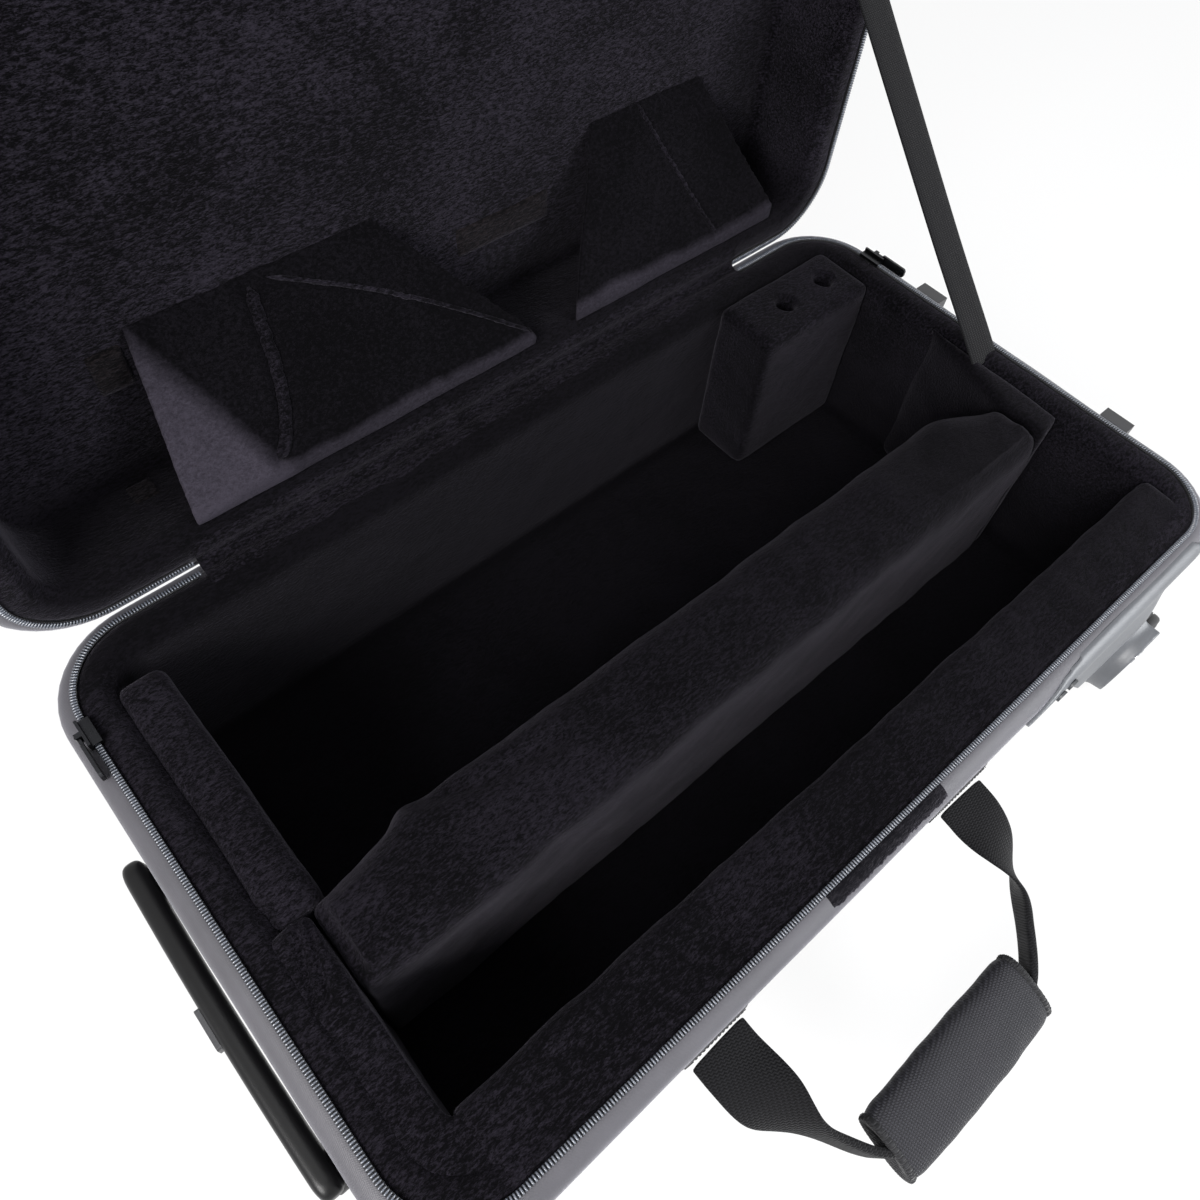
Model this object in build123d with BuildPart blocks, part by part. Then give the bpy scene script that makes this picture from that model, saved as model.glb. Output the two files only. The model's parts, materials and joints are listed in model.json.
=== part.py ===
"""Wheeled two-instrument brass case, lying open on its bottom skids.

Units are millimetres.  The origin lies on the ground under the middle of the base.
+X runs from the trolley end to the wheel end, +Y from the carry handle to the hinge, +Z up.
The base and the lid meet at the zip.  Lid pieces are drawn in the coordinates of the closed case
(x, y, height above the rim) and set in place by lid_location, so one number opens the lid.
"""
import math
import os

from build123d import *

os.makedirs("parts", exist_ok=True)

# ---------------------------------------------------------------- driving sizes: case body
zip_length = 580.0            # zip line, end to end
zip_width = 330.0             # zip line, front to back
zip_corner_radius = 41.0
rim_height = 170.0            # plane where base and lid meet, above the ground
skid_height = 6.0
shoulder = 10.0               # the outer wall stands this far outside the zip line
lid_depth = 70.0              # rim plane to the lid's outer face
cover_thickness = 1.2
board_thickness = 5.0         # bottom board and lid top board
wall_stop = 14.0              # boards' walls end this far from the rim, under the soft shoulder
bottom_edge_radius = 8.0
lid_edge_radius = 12.0

# ---------------------------------------------------------------- driving sizes: zip and hinge
tape_thickness = 1.0
tape_height = 9.0
coil_width = 3.0
coil_height = 1.6
rim_gap = 0.8                 # half of the space between the two coils when the case is shut
cover_step = 0.6              # the cover's edge lies this far below the coil
zip_back_end = 204.0          # the zip stops here on the hinge side, either side of the middle
lid_open_angle = 90.0
hinge_behind = 1.85           # hinge line behind the zip line
hinge_drop = 1.85             # hinge line below the rim plane
edge_relief = 0.1             # keeps the rolled edges a hair short of the zip line
hinge_strip_length = 470.0
hinge_strip_height = 20.0
hinge_strip_thickness = 1.0

# ---------------------------------------------------------------- driving sizes: lining and pads
rim_band = 20.0               # plush-covered band inside the zip line
lining_drop = 2.0             # band's crown below the rim plane
lining_floor = 5.0
band_outer_round = 4.0
band_inner_round = 8.0
well_floor_round = 6.0
floor_board_height = 40.0     # underside of the false floor over the trolley
floor_board_thickness = 3.0
pad_gap = 0.3
front_pad_thickness = 21.0
left_pad_thickness = 23.5
left_pad_start_gap = 3.0      # its end towards the divider
left_pad_end_gap = 14.0       # its rounded end to the well's hinge-side wall
left_block_thickness = 13.0
front_bay_width = 80.0        # front wall of the well to the divider
divider_thickness = 36.0      # at its right end
divider_bulge = 23.0          # its hinge-side face swells this far behind the right end
divider_left_bulge = 9.0
divider_bulge_left = -190.0   # x positions between which the swell is full
divider_bulge_right = 205.0
divider_end_gap = 21.0        # divider's right end to the well's end wall
divider_splay = 4.0
divider_round = 10.0
divider_crown = 2.0           # the divider's top stands this far above the rim band
gusset_flare = 74.0           # the corner gusset widens this much towards the end wall
pad_round = 7.0
pad_top_drop = 3.0            # pads' tops below the rim plane
mouthpiece_block_length = 103.0
mouthpiece_block_depth = 48.0
mouthpiece_hole_radius = 6.5
mouthpiece_hole_depth = 60.0
mouthpiece_hole_insets = ((62.0, 24.0), (22.0, 23.0))     # from the well's right end and back wall
lid_lining_floor = 5.8        # lining under the lid's top board

# ---------------------------------------------------------------- driving sizes: lid fittings
lid_pad_rim_reach = 7.0       # pads' sloping face to the hinge-side wall, at the rim
lid_pad_board_reach = 87.0    # the same, on the top board
lid_pad_sink = 4.0            # pads' rim end below the rim plane
left_pad_rim = (-195.0, 33.0)     # ends of the pad at the rim
left_pad_board = (-177.0, -38.0)  # ends of the pad on the board
right_pad_rim = (61.0, 240.0)
right_pad_board = (114.0, 205.0)
patch_thickness = 1.2
board_patch = (18.0, 26.0)
board_patch_place = (-190.0, 66.0)    # x, and distance from the hinge-side wall
wall_patch = (15.0, 14.0)
wall_patch_centre = (-205.0, 44.0)
patch_strip = (70.0, 20.0)
patch_strip_place = (48.0, 46.0)
strap_width = 25.0
strap_thickness = 1.6
strap_x = 275.0
strap_reach = 163.0           # base anchor to the hinge line
pocket_length = 430.0
pocket_width = 230.0
pocket_height = 14.0
pocket_radius = 30.0
pocket_round = 6.0
pocket_zip_inset = 9.0
pocket_zip_width = 5.0
pocket_zip_height = 1.0
gusset_length = 400.0
gusset_reach = 9.0            # how far the gusset lies on each rim band
gusset_thickness = 1.6

# ---------------------------------------------------------------- driving sizes: trolley
tube_y = 92.0
tube_z = 29.0
outer_tube_radius = 10.5
tube_wall = 0.9
tube_running_gap = 0.1
mid_tube_radius = outer_tube_radius - tube_wall - tube_running_gap
inner_tube_radius = mid_tube_radius - tube_wall - tube_running_gap
fit_gap = 0.2
outer_tube_length = 480.0
mid_tube_length = 450.0
inner_tube_length = 430.0
bezel_thickness = 2.5
bezel_margin = 23.0           # beyond each tube's centre line
bezel_height = 33.0
bezel_radius = 8.0
collar_thickness = 4.6
collar_radius = 13.0
grip_gap = 10.0                # bezel face to the grip's bar
grip_thickness = 16.0
grip_overhang = 14.0          # beyond each tube's centre line
grip_height = 20.0
grip_rise = 15.0              # the bar's middle stands this far above the tubes
grip_round = 6.0
grip_socket = 8.0
boss_radius = 11.0
button_length = 25.4
button_height = 9.4
button_proud = 2.0
button_travel = 1.8
button_depth = 4.5
button_pocket_gap = 0.3
bracket_length = 22.0
bracket_margin = 18.0         # beyond each tube's centre line
bracket_back = 3.0            # closed end behind the tubes
boss_overlap = 6.0            # the grip's bosses grow out of the bar
button_corner = 2.0
bezel_screw_outside = 17.0    # outer screws beyond the tubes, and inner screws inside them
bezel_screw_inside = 42.0

# ---------------------------------------------------------------- driving sizes: wheels
wheel_setback = 21.0          # axle to the end wall's outer face
wheel_z = 32.0
wheel_radius = 30.0
tyre_width = 20.0
hub_radius = 21.0
bearing_outer_radius = 11.0
bearing_inner_radius = 4.05
bearing_width = 7.0
axle_radius = 4.0
axle_head_radius = 6.5
axle_head = 1.5
wheel_side_gap = 1.5
tyre_inset = 3.0              # the tyre's inboard face lies this far inside the wall's outer face
pod_wall = 2.5
pod_reach_out = 11.0          # axle to the housing's open end
pod_nose = 14.0               # the roof's end slopes down this far towards the open end
pod_bottom = 5.0
pod_mouth_gap = 2.0
pod_round = 4.0
pod_sweep = 14.0              # the cowl sweeps out into the wing this wide
tyre_round = 4.0
pod_seat_gap = 0.2
wing_thickness = 2.2
wing_screws = ((-171.0, 14.0), (-161.0, 13.0))        # x from the axle, drop below the rim
back_wing_screws = ((-124.0, 60.0), (-90.0, 72.0))
back_wing_gap = 4.0           # the back wing stops this far below the hinge strip
wing_upper = (                # x from the axle and drop below the rim along the upper edge, tip first
    (-200.0, 15.0), (-185.0, 10.5), (-167.0, 5.6), (-149.0, 3.9), (-90.0, 3.8), (-28.0, 3.8))
wing_lower = ((-200.0, 15.0), (-160.0, 46.0), (-110.0, 84.0), (-40.0, 150.0))
wing_root = ((-40.0, 115.0), (-3.0, 103.5))           # over the cowl, to the roof's end
screw_radius = 2.0
screw_head_radius = 3.6
screw_head = 1.4
screw_length = 9.0

# ---------------------------------------------------------------- driving sizes: outside fittings
stand_foot_spacing = 152.0
stand_foot_middle = -10.0
stand_foot_length = 20.0
stand_foot_height = 25.0
stand_foot_drop = 5.0         # top below the rim plane
stand_foot_proud = 9.0
stand_foot_chamfer = 3.0
skid_xs = (-200.0, 0.0, 150.0)
skid_end_gap = 55.0           # skid's end to the case's wall
skid_width = 16.0
handle_middle = -42.0
handle_leg_spacing = 196.0
handle_root_drop = 76.0       # root below the rim
handle_root_width = 38.0
handle_root_thickness = 2.4
handle_root_length = 26.0
handle_patch_height = 34.0
handle_patch_width = 42.0
handle_patch_thickness = 1.5
handle_fold_gap = 0.1         # webbing's rolled root to the patch
handle_droop = 21.5           # degrees below level at rest
handle_wrap_length = 120.0
handle_wrap_width = 44.0
handle_wrap_thickness = 20.0
handle_wrap_out = 98.0        # pivot to the wrap's middle, along the webbing
handle_wrap_round = 8.0
leg_fold = 14.0               # width of the folded webbing between root and wrap
leg_fold_thickness = 5.0
leg_knee_in = 8.0             # the folded legs lean in towards the wrap
leg_knee_out = 60.0
loop_strip_ends = (-75.0, 10.0)
loop_strip_heights = (117.0, 131.5)
loop_strip_thickness = 0.8

# ---------------------------------------------------------------- driving sizes: zip sliders
slider_length = 16.0
slider_leg = 1.4
slider_side_gap = 0.3
slider_bridge = 1.2
slider_outer_half = 2.8
slider_inner_drop = 1.7
slider_park_gap = 2.0         # short of the corner, at the hinge end
slider_ear = 3.0
slider_ear_thickness = 0.9
slider_ear_length = 2.8
pull_pin_out = 1.9            # slider face to the pull's pin
pull_pin_radius = 0.7
pull_eye_gap = 0.06
pull_eye_radius = 1.5
pull_length = 26.0
pull_width = 6.6
pull_neck = 3.4
pull_corner = 2.0
pull_thickness = 1.6
pull_neck_length = 5.0

# ---------------------------------------------------------------- worked-out sizes
body_length = zip_length + 2 * shoulder
body_width = zip_width + 2 * shoulder
body_radius = zip_corner_radius + shoulder
wall_x = body_length / 2
wall_y = body_width / 2
coil_edge = rim_gap + coil_height             # rim plane to the coil's root
cover_edge = coil_edge + cover_step           # rim plane to the cover's edge
base_depth = rim_height - skid_height
well_length = zip_length - 2 * rim_band
well_width = zip_width - 2 * rim_band
well_radius = zip_corner_radius - rim_band
tray_length = zip_length - 2 * tape_thickness
tray_width = zip_width - 2 * tape_thickness
tray_radius = zip_corner_radius - tape_thickness
tray_depth = rim_height - floor_board_height - floor_board_thickness
well_depth = tray_depth - lining_floor
well_floor = rim_height - well_depth
pad_top = rim_height - pad_top_drop
lid_tray_depth = lid_depth - cover_thickness - board_thickness
lid_hollow = lid_tray_depth - lid_lining_floor
well_x = well_length / 2
well_y = well_width / 2
coil_outside = (coil_width - tape_thickness) / 2
divider_front = -well_y + front_bay_width
divider_back = divider_front + divider_thickness
divider_right = well_x - divider_end_gap
gusset_back = divider_back + gusset_flare
left_pad_front = divider_back + divider_left_bulge + left_pad_start_gap
left_pad_back = well_y - left_pad_end_gap
mouthpiece_holes = [(well_x - inset_x, well_y - inset_y) for inset_x, inset_y in mouthpiece_hole_insets]
board_patch_centre = (board_patch_place[0], well_y - board_patch_place[1])
patch_strip_centre = (patch_strip_place[0], well_y - patch_strip_place[1])
wheel_x = wall_x - wheel_setback
tyre_inner_face = wall_y - tyre_inset
pod_radius = wheel_radius + pod_mouth_gap + pod_wall
pod_top = wheel_z + pod_radius
pod_left = wheel_x - pod_radius
pod_right = wheel_x + pod_reach_out
bezel_length = 2 * (tube_y + bezel_margin)
bezel_screw_ys = (
    -tube_y - bezel_screw_outside, -tube_y + bezel_screw_inside,
    tube_y - bezel_screw_inside, tube_y + bezel_screw_outside)
grip_length = 2 * (tube_y + grip_overhang)
grip_z = tube_z + grip_rise
bracket_width = 2 * (tube_y + bracket_margin)
skid_length = body_width - 2 * skid_end_gap
back_wing_top = rim_height - wall_stop - hinge_strip_height - back_wing_gap
pod_inner_y = tyre_inner_face - wheel_side_gap - pod_wall
pod_outer_y = tyre_inner_face + tyre_width + wheel_side_gap + pod_wall
bay_y = pod_inner_y - pod_seat_gap
board_top = skid_height + cover_thickness + board_thickness
bezel_face = wall_x + bezel_thickness
tube_end = -bezel_face + outer_tube_length
collar_face = bezel_face + fit_gap + collar_thickness
grip_face = bezel_face + grip_gap + grip_thickness
pocket_zip_y = -pocket_width / 2 + pocket_zip_inset
pocket_zip_length = pocket_length - 2 * pocket_radius
hinge_y = zip_width / 2 + hinge_behind
hinge_z = rim_height - hinge_drop

# ---------------------------------------------------------------- base and lid frames
hinge_plane = Plane(
    origin=(0, hinge_y, hinge_z),
    x_dir=(1, 0, 0),
    z_dir=(0, math.sin(math.radians(lid_open_angle)), math.cos(math.radians(lid_open_angle))),
)
lid_location = hinge_plane.location * Location((0, -hinge_y, hinge_drop))


handle_pivot_proud = handle_patch_thickness + handle_fold_gap + handle_root_thickness / 2
handle_root_z = rim_height - handle_root_drop
handle_plane = Plane(
    origin=(handle_middle, -wall_y - handle_pivot_proud, handle_root_z),
    x_dir=(1, 0, 0),
    z_dir=(0, math.sin(math.radians(handle_droop)), -math.cos(math.radians(handle_droop))),
)
leg_x = handle_leg_spacing / 2
leg_path = (
    (-leg_x, handle_root_length / 2),
    (-leg_x + leg_knee_in, leg_knee_out),
    (-handle_wrap_length / 2 - leg_knee_in, handle_wrap_out),
    (handle_wrap_length / 2 + leg_knee_in, handle_wrap_out),
    (leg_x - leg_knee_in, leg_knee_out),
    (leg_x, handle_root_length / 2),
)
band_z = rim_height - lining_drop                       # crown of the base's rim band
lid_band_y = hinge_y + hinge_drop + lining_drop         # crown of the lid's rim band, lid open
strap_y = hinge_y - strap_reach
strap_slope = strap_thickness * math.sqrt(2)
strap_top = band_z + lid_band_y - strap_y
strap_outline = (
    (strap_y, band_z), (strap_y + strap_slope, band_z),
    (lid_band_y, strap_top - strap_slope), (lid_band_y, strap_top))
gusset_front = zip_width / 2 - gusset_reach
gusset_top = hinge_z + zip_width / 2 - gusset_front + hinge_drop
gusset_outline = (
    (gusset_front, band_z), (hinge_y, band_z), (lid_band_y, hinge_z + hinge_behind + hinge_drop),
    (lid_band_y, gusset_top), (lid_band_y - gusset_thickness, gusset_top),
    (lid_band_y - gusset_thickness, hinge_z + 2 * hinge_drop + hinge_behind),
    (hinge_y - gusset_thickness / 2, band_z + gusset_thickness), (gusset_front, band_z + gusset_thickness))


def lid_plane(height):
    """Plane across the lid at a height above the rim; its x and y are the closed case's."""
    return Plane(lid_location * Location((0, 0, height)))


def base_plane(depth):
    """Plane across the base at a depth below the rim, facing down."""
    return Plane(origin=(0, 0, rim_height - depth), x_dir=(1, 0, 0), z_dir=(0, 0, -1))


def plane_axis(plane):
    """Axis along a plane's normal, to sort edges by."""
    return Axis(plane.origin, plane.z_dir)


# ---------------------------------------------------------------- shared shapes
def rounded_block(plane, length, width, radius, height, near_round=0.0, far_round=0.0):
    """Rounded rectangle pushed out from a plane, with its near and far edges rounded."""
    with BuildPart() as block:
        with BuildSketch(plane):
            RectangleRounded(length, width, radius)
        extrude(amount=height)
        if near_round:
            fillet(block.edges().group_by(plane_axis(plane))[0], near_round)
        if far_round:
            fillet(block.edges().group_by(plane_axis(plane))[-1], far_round)
    return block.part


def cover_outside(plane_at, depth, far_round):
    """Outer form of the base's or the lid's soft cover."""
    return rounded_block(
        plane_at(cover_edge), body_length, body_width, body_radius,
        depth - cover_edge, shoulder - edge_relief, far_round)


def cover_inside(plane_at, depth, far_round):
    """Inner form of the cover, one cloth thickness inside the outer form."""
    return rounded_block(
        plane_at(cover_edge + cover_thickness),
        body_length - 2 * cover_thickness, body_width - 2 * cover_thickness, body_radius - cover_thickness,
        depth - cover_edge - 2 * cover_thickness,
        shoulder - edge_relief - cover_thickness, far_round - cover_thickness)


def zip_ring(plane, height, width, outside=0.0):
    """Strip along the zip line, open on the hinge side, its outer face a little outside the line."""
    with BuildPart() as ring:
        with BuildSketch(plane) as outline:
            grow = 2 * outside
            RectangleRounded(zip_length + grow, zip_width + grow, zip_corner_radius + outside)
            shrink = grow - 2 * width
            RectangleRounded(
                zip_length + shrink, zip_width + shrink, zip_corner_radius + outside - width,
                mode=Mode.SUBTRACT)
            with Locations((0, zip_width / 2)):
                Rectangle(2 * zip_back_end, 4 * width + 4 * tape_thickness, mode=Mode.SUBTRACT)
        extrude(amount=height)
    return ring.part


def well_core():
    """Solid filling the base's well, used to trim the pads to its rounded corners."""
    return rounded_block(
        Plane.XY.offset(well_floor), well_length, well_width, well_radius, well_depth, well_floor_round)


def block(x_range, y_range, z_range):
    """Plain block between two x, two y and two z positions."""
    with BuildPart() as solid:
        with BuildSketch(Plane.XY.offset(z_range[0])):
            with Locations(((x_range[0] + x_range[1]) / 2, (y_range[0] + y_range[1]) / 2)):
                Rectangle(x_range[1] - x_range[0], y_range[1] - y_range[0])
        extrude(amount=z_range[1] - z_range[0])
    return solid.part


def tube_pair(start, length, radius, bore=0.0):
    """Two rods or tubes side by side along X, at the trolley's spacing."""
    with BuildPart() as pair:
        with BuildSketch(Plane.YZ.offset(start)):
            with Locations((-tube_y, tube_z), (tube_y, tube_z)):
                Circle(radius)
            if bore:
                with Locations((-tube_y, tube_z), (tube_y, tube_z)):
                    Circle(bore, mode=Mode.SUBTRACT)
        extrude(amount=length)
    return pair.part


def across_rod(x, z, start, length, radius, bore=0.0):
    """Rod or ring along Y, from a y position towards the front."""
    with BuildPart() as rod:
        with BuildSketch(Plane.XZ.offset(-start)):
            with Locations((x, z)):
                Circle(radius)
            if bore:
                with Locations((x, z)):
                    Circle(bore, mode=Mode.SUBTRACT)
        extrude(amount=length)
    return rod.part


def wing_screw_rods(places, radius, start, length):
    """Rods at a wheel pod's screw places on the front wall, pointing out."""
    with BuildPart() as rods:
        with BuildSketch(Plane.XZ.offset(start)):
            with Locations(*[(wheel_x + x, rim_height - drop) for x, drop in places]):
                Circle(radius)
        extrude(amount=length)
    return rods.part


def bezel_screw_rods(radius, start, length):
    """Rods at the trolley bezel's screw places, along +X from an x position."""
    with BuildPart() as rods:
        with BuildSketch(Plane.YZ.offset(start)):
            with Locations(*[(y, tube_z) for y in bezel_screw_ys]):
                Circle(radius)
        extrude(amount=length)
    return rods.part


def pod_cowl():
    """Wheel housing outside the front wall: a cowl round the wheel, open to the right and below."""
    with BuildPart() as pod:
        with BuildSketch(Plane.XZ.offset(pod_inner_y)):
            with Locations((wheel_x, wheel_z)):
                Circle(pod_radius)
            with Locations(((wheel_x + pod_right) / 2, (pod_bottom + pod_top) / 2)):
                Rectangle(pod_right - wheel_x, pod_top - pod_bottom)
            with Locations(((pod_left + pod_right) / 2, (pod_bottom + pod_top) / 2)):
                Rectangle(pod_right - pod_left, pod_top - pod_bottom, mode=Mode.INTERSECT)
            Polygon(
                (pod_right - pod_nose, pod_top), (pod_right, pod_top - pod_nose), (pod_right, pod_top),
                align=None, mode=Mode.SUBTRACT)
        extrude(amount=pod_outer_y - pod_inner_y)
        fillet(pod.edges().filter_by(GeomType.CIRCLE).group_by(Axis.Y)[0], pod_round)
        with BuildSketch(Plane.XY.offset(wheel_z)):
            with BuildLine():
                foot = (pod_left - pod_sweep, -wall_y - wing_thickness)
                crest = (pod_left, -wall_y - wing_thickness - pod_sweep)
                RadiusArc(foot, crest, pod_sweep)
                Polyline(crest, (pod_left + pod_wall, crest[1]), (pod_left + pod_wall, -wall_y),
                         (foot[0], -wall_y), foot)
            make_face()
        revolve(axis=Axis((wheel_x, 0, wheel_z), (0, 1, 0)))
        add(block(
            (pod_left - pod_sweep, pod_right), (-pod_outer_y, -pod_inner_y), (pod_bottom, pod_top + pod_sweep)),
            mode=Mode.INTERSECT)
        add(block(
            (pod_right - pod_nose, pod_right), (-pod_outer_y, -pod_inner_y), (pod_top, pod_top + pod_sweep)),
            mode=Mode.SUBTRACT)
        add(across_rod(
            wheel_x, wheel_z, -pod_inner_y - pod_wall, pod_outer_y - pod_inner_y - 2 * pod_wall,
            wheel_radius + pod_mouth_gap), mode=Mode.SUBTRACT)
        add(block(
            (wheel_x, pod_right + wheel_radius), (-pod_outer_y + pod_wall, -pod_inner_y - pod_wall),
            (0, wheel_z + wheel_radius + pod_mouth_gap)), mode=Mode.SUBTRACT)
    return pod.part


def wing_plate():
    """Swept wing that carries the wheel housing and lies over the wall and the shoulder."""
    with BuildPart() as wing:
        with BuildSketch(Plane.XZ.offset(zip_width / 2)):
            with BuildLine():
                upper = [(wheel_x + x, rim_height - drop) for x, drop in wing_upper]
                lower = [(wheel_x + x, rim_height - drop) for x, drop in wing_lower]
                Spline(*upper)
                Spline(*lower)
                root = [(wheel_x + x, rim_height - drop) for x, drop in wing_root]
                Polyline(lower[-1], *root, upper[-1])
            make_face()
        extrude(amount=shoulder + wing_thickness)
        add(rounded_block(
            base_plane(cover_edge - wing_thickness), body_length + 2 * wing_thickness,
            body_width + 2 * wing_thickness, body_radius + wing_thickness, base_depth,
            shoulder - edge_relief + wing_thickness), mode=Mode.INTERSECT)
        add(cover_outside(base_plane, base_depth, bottom_edge_radius), mode=Mode.SUBTRACT)
    return wing.part


def wheel_bay():
    """Corner cut out of the front wall for the wheel pod."""
    return block(
        (pod_left - pod_seat_gap, wall_x + shoulder), (-wall_y - shoulder, -bay_y),
        (0, pod_top + pod_seat_gap))


def lining_tray(plane_at, depth, hollow):
    """Plush-covered lining: a tray with a rounded rim band."""
    with BuildPart() as tray:
        add(rounded_block(
            plane_at(lining_drop), tray_length, tray_width, tray_radius, depth - lining_drop,
            band_outer_round))
        with BuildSketch(plane_at(0)):
            RectangleRounded(well_length, well_width, well_radius)
        extrude(amount=hollow, mode=Mode.SUBTRACT)
        depth_axis = plane_axis(plane_at(0))
        fillet(tray.faces().sort_by(depth_axis)[0].inner_wires().edges(), band_inner_round)
        floor_face = tray.faces().filter_by(GeomType.PLANE).group_by(depth_axis)[-2].sort_by(SortBy.AREA)[-1]
        fillet(floor_face.outer_wire().edges(), well_floor_round)
    return tray.part


def wedge_pad(rim_ends, board_ends):
    """Lid pad: deep on the top board, thin at the rim, tapering at both ends."""
    with BuildPart() as pad:
        with BuildSketch(lid_plane(lid_pad_sink)):
            with Locations(((rim_ends[0] + rim_ends[1]) / 2, well_y - lid_pad_rim_reach / 2)):
                Rectangle(rim_ends[1] - rim_ends[0], lid_pad_rim_reach)
        with BuildSketch(lid_plane(lid_hollow)):
            with Locations(((board_ends[0] + board_ends[1]) / 2, well_y - lid_pad_board_reach / 2)):
                Rectangle(board_ends[1] - board_ends[0], lid_pad_board_reach)
        loft(ruled=True)
    return pad.part


def lid_core():
    """Solid filling the lid's hollow, used to trim the pads to its rounded corners."""
    return rounded_block(
        lid_plane(0), well_length, well_width, well_radius, lid_hollow, far_round=well_floor_round)


def pull_tab(place):
    """Zip pull: eye on the pin, neck and plate, lying along -x of its place."""
    with BuildPart() as tab:
        with BuildSketch(Plane.XZ.offset(-pull_neck / 2)):
            Circle(pull_eye_radius)
            with Locations((-pull_neck_length / 2, 0)):
                Rectangle(pull_neck_length, pull_thickness)
            Circle(pull_pin_radius + pull_eye_gap, mode=Mode.SUBTRACT)
        extrude(amount=pull_neck)
        with BuildSketch(Plane.XY.offset(-pull_thickness / 2)):
            with Locations((-(pull_length + pull_neck_length) / 2, 0)):
                RectangleRounded(pull_length - pull_neck_length, pull_width, pull_corner)
        extrude(amount=pull_thickness)
    return tab.part.moved(place)


def pull_ears(place):
    """Two ears and the pin that a zip pull turns on."""
    with BuildPart() as ears:
        ear_y = slider_outer_half - slider_ear_thickness
        for side in (-1, 1):
            with BuildSketch(Plane.XY.offset(-pull_pin_out)):
                with Locations((0, side * (slider_outer_half + ear_y) / 2)):
                    Rectangle(slider_ear_length, slider_ear_thickness)
            extrude(amount=slider_ear)
        with BuildSketch(Plane.XZ.offset(-slider_outer_half)):
            Circle(pull_pin_radius)
        extrude(amount=2 * slider_outer_half)
    return ears.part.moved(place)


front_screw_holes = wing_screw_rods(wing_screws, screw_radius, wall_y - shoulder, shoulder + wing_thickness)
back_screw_holes = wing_screw_rods(
    back_wing_screws, screw_radius, wall_y - shoulder, shoulder + wing_thickness).mirror(Plane.XZ)

# ================================================================ base shell
with BuildPart() as base_cover:
    add(cover_outside(base_plane, base_depth, bottom_edge_radius))
    add(cover_inside(base_plane, base_depth, bottom_edge_radius), mode=Mode.SUBTRACT)
    with BuildSketch(base_plane(0)):
        RectangleRounded(zip_length, zip_width, zip_corner_radius)
    extrude(amount=wall_stop, mode=Mode.SUBTRACT)
    add(wheel_bay(), mode=Mode.SUBTRACT)
    add(wheel_bay().mirror(Plane.XZ), mode=Mode.SUBTRACT)
    add(tube_pair(-wall_x, 2 * shoulder, outer_tube_radius + fit_gap), mode=Mode.SUBTRACT)
    add(front_screw_holes, mode=Mode.SUBTRACT)
    add(back_screw_holes, mode=Mode.SUBTRACT)
    add(bezel_screw_rods(screw_radius, -wall_x, shoulder), mode=Mode.SUBTRACT)
base_cover.part.label = "base_cover"
export_step(base_cover.part, "parts/base_cover.step")

with BuildPart() as base_frame:
    add(cover_inside(base_plane, base_depth, bottom_edge_radius))
    with BuildSketch(base_plane(0)):
        Rectangle(body_length, body_width)
    extrude(amount=wall_stop, mode=Mode.SUBTRACT)
    with BuildSketch(base_plane(0)):
        RectangleRounded(tray_length, tray_width, tray_radius)
    extrude(amount=base_depth - cover_thickness - board_thickness, mode=Mode.SUBTRACT)
    add(wheel_bay(), mode=Mode.SUBTRACT)
    add(wheel_bay().mirror(Plane.XZ), mode=Mode.SUBTRACT)
    add(tube_pair(-wall_x, 2 * shoulder, outer_tube_radius + fit_gap), mode=Mode.SUBTRACT)
    add(front_screw_holes, mode=Mode.SUBTRACT)
    add(back_screw_holes, mode=Mode.SUBTRACT)
    add(bezel_screw_rods(screw_radius, -wall_x, shoulder), mode=Mode.SUBTRACT)
base_frame.part.label = "base_frame"
export_step(base_frame.part, "parts/base_frame.step")

with BuildPart() as base_false_floor:
    add(rounded_block(
        Plane.XY.offset(floor_board_height), tray_length, tray_width, tray_radius, floor_board_thickness))
base_false_floor.part.label = "base_false_floor"
export_step(base_false_floor.part, "parts/base_false_floor.step")

with BuildPart() as base_lining:
    add(lining_tray(base_plane, tray_depth, well_depth))
base_lining.part.label = "base_lining"
export_step(base_lining.part, "parts/base_lining.step")

with BuildPart() as bottom_skids:
    with BuildSketch(Plane.XY):
        with Locations(*[(x, 0) for x in skid_xs]):
            SlotOverall(skid_length, skid_width, rotation=90)
    extrude(amount=skid_height)
bottom_skids.part.label = "bottom_skids"
export_step(bottom_skids.part, "parts/bottom_skids.step")

with BuildPart() as stand_feet:
    for side in (-1, 1):
        with BuildSketch(Plane.XY.offset(rim_height - stand_foot_drop - stand_foot_height)):
            with Locations(((wall_x - shoulder + wall_x + stand_foot_proud) / 2,
                            stand_foot_middle + side * stand_foot_spacing / 2)):
                Rectangle(shoulder + stand_foot_proud, stand_foot_length)
        extrude(amount=stand_foot_height)
    chamfer(stand_feet.faces().sort_by(Axis.X)[-2:].edges(), stand_foot_chamfer)
    add(cover_outside(base_plane, base_depth, bottom_edge_radius), mode=Mode.SUBTRACT)
stand_feet.part.label = "stand_feet"
export_step(stand_feet.part, "parts/stand_feet.step")

# ================================================================ pads in the base
with BuildPart() as left_end_pad:
    with BuildSketch(Plane.XY.offset(well_floor)):
        with Locations((-well_x + left_pad_thickness / 2, (left_pad_back + left_pad_front) / 2)):
            Rectangle(left_pad_thickness, left_pad_back - left_pad_front)
    extrude(amount=pad_top - well_floor)
    fillet(left_end_pad.edges().filter_by(Axis.Z).sort_by(Axis.X)[-2:], pad_round)
    fillet(left_end_pad.faces().sort_by(Axis.Z)[-1].edges(), pad_round)
    add(well_core(), mode=Mode.INTERSECT)
left_end_pad.part.label = "left_end_pad"
export_step(left_end_pad.part, "parts/left_end_pad.step")

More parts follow.
